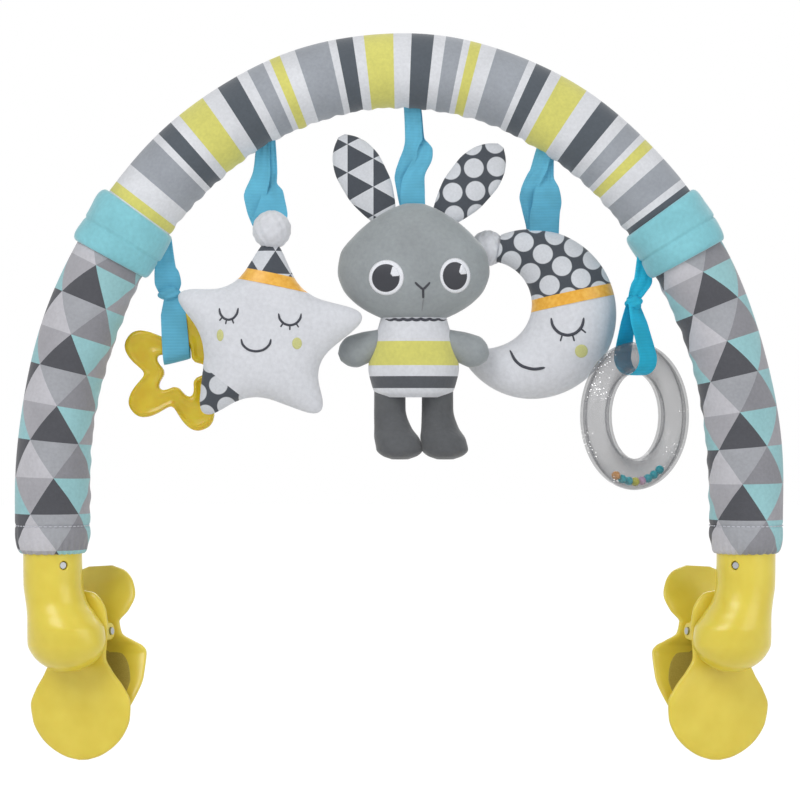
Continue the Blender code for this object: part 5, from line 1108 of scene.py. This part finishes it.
def loop(top, bottom, round_radius, forward, across, halves, count=120):
    """A strap's loop: a belt from a knot down round a bar, broad along across.

    With b = asin((R - r) / L), it leaves the knot's small circle of radius r and the bar's of
    radius R at b above the level, straight between them and round below the bar."""
    top, bottom, forward = np.array(top), np.array(bottom), np.array(forward, float)
    small = 0.0014
    down = bottom - top
    length = np.linalg.norm(down)
    down = down / length
    lean = math.asin((round_radius - small) / length)
    upper = np.radians(np.linspace(-90.0, -math.degrees(lean), 12))
    under = np.linspace(-lean, math.pi + lean, 60)
    first = np.concatenate([small * np.exp(1j * upper), length * 1j + round_radius * np.exp(1j * under)])
    last = small * np.exp(1j * np.linspace(math.pi + lean, 1.5 * math.pi, 12))[:-1]
    line = np.concatenate([first, last])
    gap = np.abs(np.diff(line, append=line[:1]))
    path = np.concatenate([[0.0], np.cumsum(gap)])
    even = np.linspace(0.0, path[-1], count + 1)[:-1]
    closed = np.append(line, line[0])
    x, z = np.interp(even, path, closed.real), np.interp(even, path, closed.imag)
    centre = top + x[:, None] * forward + z[:, None] * down
    half = np.interp(even / path[-1], np.linspace(0.0, 1.0, len(halves)), halves)
    along = np.roll(centre, -1, 0) - np.roll(centre, 1, 0)
    across = np.broadcast_to(np.array(across, float), centre.shape)
    deep = np.cross(along, across)
    deep /= np.linalg.norm(deep, axis=1, keepdims=True)
    a, b = oval(36, 2.6)
    drawn = np.clip(1.0 - half / 0.008, 0.0, 1.0)[:, None]
    return (centre[:, None] + across[:, None] * (half[:, None] * a)[..., None]
            + deep[:, None] * (0.00045 * b + 0.0008 * drawn * np.sin(7.0 * a))[..., None])


# A knot under the cuff, and a loop through the hole and round the teether's edge
upper = tuck(strand([(-141.4, 0.2, 271, 4.8), (-139.6, 0.6, 265, 7.4), (-139, 1.6, 259, 8.0),
                     (-138.8, 3.0, 254, 6.4), (-137.4, 4.0, 249.5, 4.0)], (0.99, 0.1, 0), 0.9),
             0.0259)
belt = loop((-0.1366, 0.0040, 0.2500), (-0.1341, 0.0062, 0.2172), 0.0056, (0.0, -1.0, 0.0),
            (0.97, 0.0, 0.243), 0.001 * np.array([4.5, 7.6, 8.0, 8.2, 8.2, 8.0, 7.6, 6.4, 4.5]))
strap = skin("teether_knotted_strap", [upper, knot((-138.6, 3.0, 252.6), (6.6, 3.6, 4.4), 0.5)], soft_blue,
             "teether_strap", sharp=60.0)
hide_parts("teether_ribbon")
band = skin("teether_strap_loop", belt, soft_blue, "teether_strap", along=True, sharp=60.0)

# The rattle: two half shells of clear polystyrene welded into a ring, with beads in its bore.

ring_yaw = math.radians(43.4)
ring_across = np.array([math.cos(ring_yaw), math.sin(ring_yaw), 0.0])
ring_axis = np.array([math.sin(ring_yaw), -math.cos(ring_yaw), 0.0])
ring_middle = np.array([0.1416, 0.0, 0.1788])
clear_shell = new_material("clear_polystyrene", "#6B6C72", 0.08, IOR=1.35, Specular_IOR_Level=1.0)
# Moulded clear plastic is a little smoky and wavy; the lamp's glint breaking up on it is painted: scattered white
# flecks, opaque and glowing
flow = noise(clear_shell, 0.002, 4.0)
dots = add_node(clear_shell, "TexVoronoi", {"Vector": add_node(clear_shell, "TexCoord").outputs["Object"],
                                            "Scale": 420.0}).outputs["Distance"]
dots = add_node(clear_shell, "Math", {0: dots, 1: 0.14}, operation="LESS_THAN").outputs[0]
bright = add_node(clear_shell, "Math", {0: noise(clear_shell, 0.011), 1: 0.6}, operation="GREATER_THAN")
painted_glint_specks = add_node(clear_shell, "Math", {0: dots, 1: bright.outputs[0]}, operation="MULTIPLY").outputs[0]
smoke = add_node(clear_shell, "MapRange", {"Value": noise(clear_shell, 0.012), "To Min": 0.0, "To Max": 0.9})
shade = add_node(clear_shell, "Math", {0: smoke.outputs["Result"], 1: painted_glint_specks}, operation="MAXIMUM")
finish_with(clear_shell, ramp(clear_shell, shade.outputs[0], [(0.2, "#54555B"), (0.7, "#696A70"),
                                                              (0.91, "#696A70"), (0.98, "#FFFFFF")],
                              "LINEAR"), flow, 0.6, 0.0006)
# It is clearest face on and darkens where the eye meets its wall at a slant
slant = add_node(clear_shell, "LayerWeight", {"Blend": 0.5}).outputs["Facing"]
cover = add_node(clear_shell, "MapRange", {"Value": slant, "From Min": 0.15, "To Min": 0.20, "To Max": 0.5})
# The painted glints are opaque, and glow white through the emission
cover = add_node(clear_shell, "Math", {0: cover.outputs["Result"], 1: painted_glint_specks}, operation="MAXIMUM")
shader = clear_shell.node_tree.nodes["Principled BSDF"]
shader.inputs["Emission Color"].default_value = srgb("#FFFFFF")
clear_shell.node_tree.links.new(cover.outputs[0], shader.inputs["Alpha"])
clear_shell.node_tree.links.new(painted_glint_specks, shader.inputs["Emission Strength"])
turn = np.radians(np.linspace(0.0, 360.0, 181))[:-1, None]
for name, sign in (("ring_front_half", 1.0), ("ring_rear_half", -1.0)):
    outside = np.radians(np.linspace(1.0, 179.0, 25))
    inside = np.radians(np.linspace(178.8, 1.2, 25))
    a = np.concatenate([0.0094 * np.cos(outside), 0.0077 * np.cos(inside)])[None]
    b = sign * np.concatenate([0.0094 * np.sin(outside), 0.0077 * np.sin(inside)])[None]
    radius = (0.035 + a)[..., None]
    points = (ring_middle + radius * (np.sin(turn)[..., None] * ring_across
                                      - np.cos(turn)[..., None] * np.array([0, 0, 1.0]))
              + b[..., None] * ring_axis)
    shell = skin("clear_" + name, points, clear_shell, "ring", along=True, sharp=50.0)
    shell.visible_shadow = False
    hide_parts(name)

for number, (colour, slot) in enumerate((
        ("#F0AE62", "bead_orange"), ("#22C2D2", "bead_teal"), ("#22C2D2", "bead_teal"),
        ("#E4E14A", "bead_yellow"), ("#E6B9E0", "bead_lilac"), ("#22C2D2", "bead_teal"),
        ("#22C2D2", "bead_teal"), ("#22C2D2", "bead_teal")), 1):
    low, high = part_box("bead_%d" % number)
    # Each bead is a glossy moulded globe, its colour a little cloudy inside
    glossy = new_material("bead_%d_polystyrene" % number, colour, 0.15)
    cloud = noise(glossy, 0.001, 2.0)
    light = add_node(glossy, "MapRange", {"Value": cloud, "To Min": 0.9, "To Max": 1.1})
    shaded = add_node(glossy, "VectorMath", {0: srgb(colour)[:3], "Scale": light.outputs["Result"]},
                      operation="SCALE")
    finish_with(glossy, shaded.outputs[0])
    fall = np.radians(np.linspace(3.0, 177.0, 24))[:, None]
    turn = np.radians(np.linspace(0.0, 360.0, 37))[None, :-1]
    middle, radius = 0.5 * (low + high), 0.5 * (high.z - low.z)
    bead = skin("rattle_bead_%d" % number, np.stack(np.broadcast_arrays(
        middle.x + radius * np.sin(fall) * np.cos(turn), middle.y + radius * np.sin(fall) * np.sin(turn),
        middle.z + radius * np.cos(fall)), -1), glossy, "beads")
    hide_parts("bead_%d" % number)

# Its strap: from under the right cuff to a small knot, then a loop round the ring's top
upper = tuck(strand([(147.2, 0.2, 264, 4.8), (145.2, 0.2, 258, 6.8), (142.6, 0, 252.4, 5.6),
                     (140.6, 0, 247.5, 4.0), (140.2, 0, 244, 3.0)], (0.93, 0.36, 0), 0.9), 0.0259)
belt = loop((0.1400, 0.0, 0.2450), (0.1416, 0.0, 0.2138), 0.0102, ring_axis, ring_across,
            0.001 * np.array([4.5, 7.4, 7.8, 8.0, 8.0, 7.8, 7.4, 6.6, 4.5]))
strap = skin("ring_knotted_strap", [upper, knot((140.6, -0.6, 246.8), (5.2, 4.0, 4.2), 2.0)], deep_blue,
             "ring_strap", sharp=60.0)
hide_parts("ring_ribbon")
band = skin("ring_strap_loop", belt, deep_blue, "ring_strap", along=True, sharp=60.0)

# The floor, the lamps and the camera of the photograph.

floor_mesh = bpy.data.meshes.new("floor")
floor_mesh.from_pydata([(-4, -4, -0.032), (4, -4, -0.032), (4, 4, -0.032), (-4, 4, -0.032)], [],
                       [(0, 1, 2, 3)])
floor = bpy.data.objects.new("floor", floor_mesh)
bpy.context.collection.objects.link(floor)
pale = new_material("pale_floor", "#F4F4F4", 0.9)
tree = pale.node_tree
patches = noise(pale, 0.3)
finish_with(pale, ramp(pale, patches, [(0.3, "#F3F3F3"), (0.7, "#F6F6F6")], "LINEAR"))


def seen(material):
    """One for the rays that the eye sees straight, in a gloss or through clear plastic."""
    rays = add_node(material, "LightPath").outputs
    either = add_node(material, "Math", {0: rays["Is Camera Ray"], 1: rays["Is Glossy Ray"]},
                      operation="MAXIMUM").outputs[0]
    return add_node(material, "Math", {0: either, 1: rays["Is Transmission Ray"]},
                    operation="MAXIMUM").outputs[0]


# To the eye the floor is nearly the white of the ground, and keeps only a faint shadow
white = add_node(pale, "Emission", {"Color": (1.0, 1.0, 1.0, 1.0), "Strength": 1.16})
share = add_node(pale, "Math", {0: seen(pale), 1: 0.8}, operation="MULTIPLY").outputs[0]
mixed = add_node(pale, "MixShader", {0: share, 1: tree.nodes["Principled BSDF"].outputs[0],
                                     2: white.outputs[0]})
tree.links.new(mixed.outputs[0], tree.nodes["Material Output"].inputs["Surface"])
floor_mesh.materials.append(pale)

world = bpy.data.worlds.new("studio")
bpy.context.scene.world = world
world.use_nodes = True
ground = world.node_tree.nodes["Background"]
ground.inputs["Color"].default_value = (1.0, 1.0, 1.0, 1.0)
strength = add_node(world, "MapRange", {"Value": seen(world), "To Min": 0.45, "To Max": 1.0})
world.node_tree.links.new(strength.outputs["Result"], ground.inputs["Strength"])
for name, place, size, power in (("key", (-1.2, -1.9, 2.0), 1.6, 34.0),
                                 ("fill", (1.8, -1.6, 0.9), 1.6, 13.0),
                                 ("back", (0.3, 1.8, 1.6), 1.4, 11.0)):
    lamp = bpy.data.lights.new(name, "AREA")
    lamp.size = size
    lamp.energy = power
    lamp_object = bpy.data.objects.new(name, lamp)
    bpy.context.collection.objects.link(lamp_object)
    lamp_object.location = place
    lamp_object.rotation_euler = (Vector((0.0, 0.0, 0.2)) - Vector(place)).to_track_quat("-Z", "Y").to_euler()

camera_data = bpy.data.cameras.new("camera")
camera = bpy.data.objects.new("camera", camera_data)
bpy.context.collection.objects.link(camera)
camera_data.sensor_width = 36.0
camera_data.lens = 120.0
camera.location = (0.0004, -1.6, 0.1884)
camera.rotation_euler = (math.radians(90.0), 0.0, 0.0)
bpy.context.scene.camera = camera
bpy.context.scene.view_settings.view_transform = "Standard"
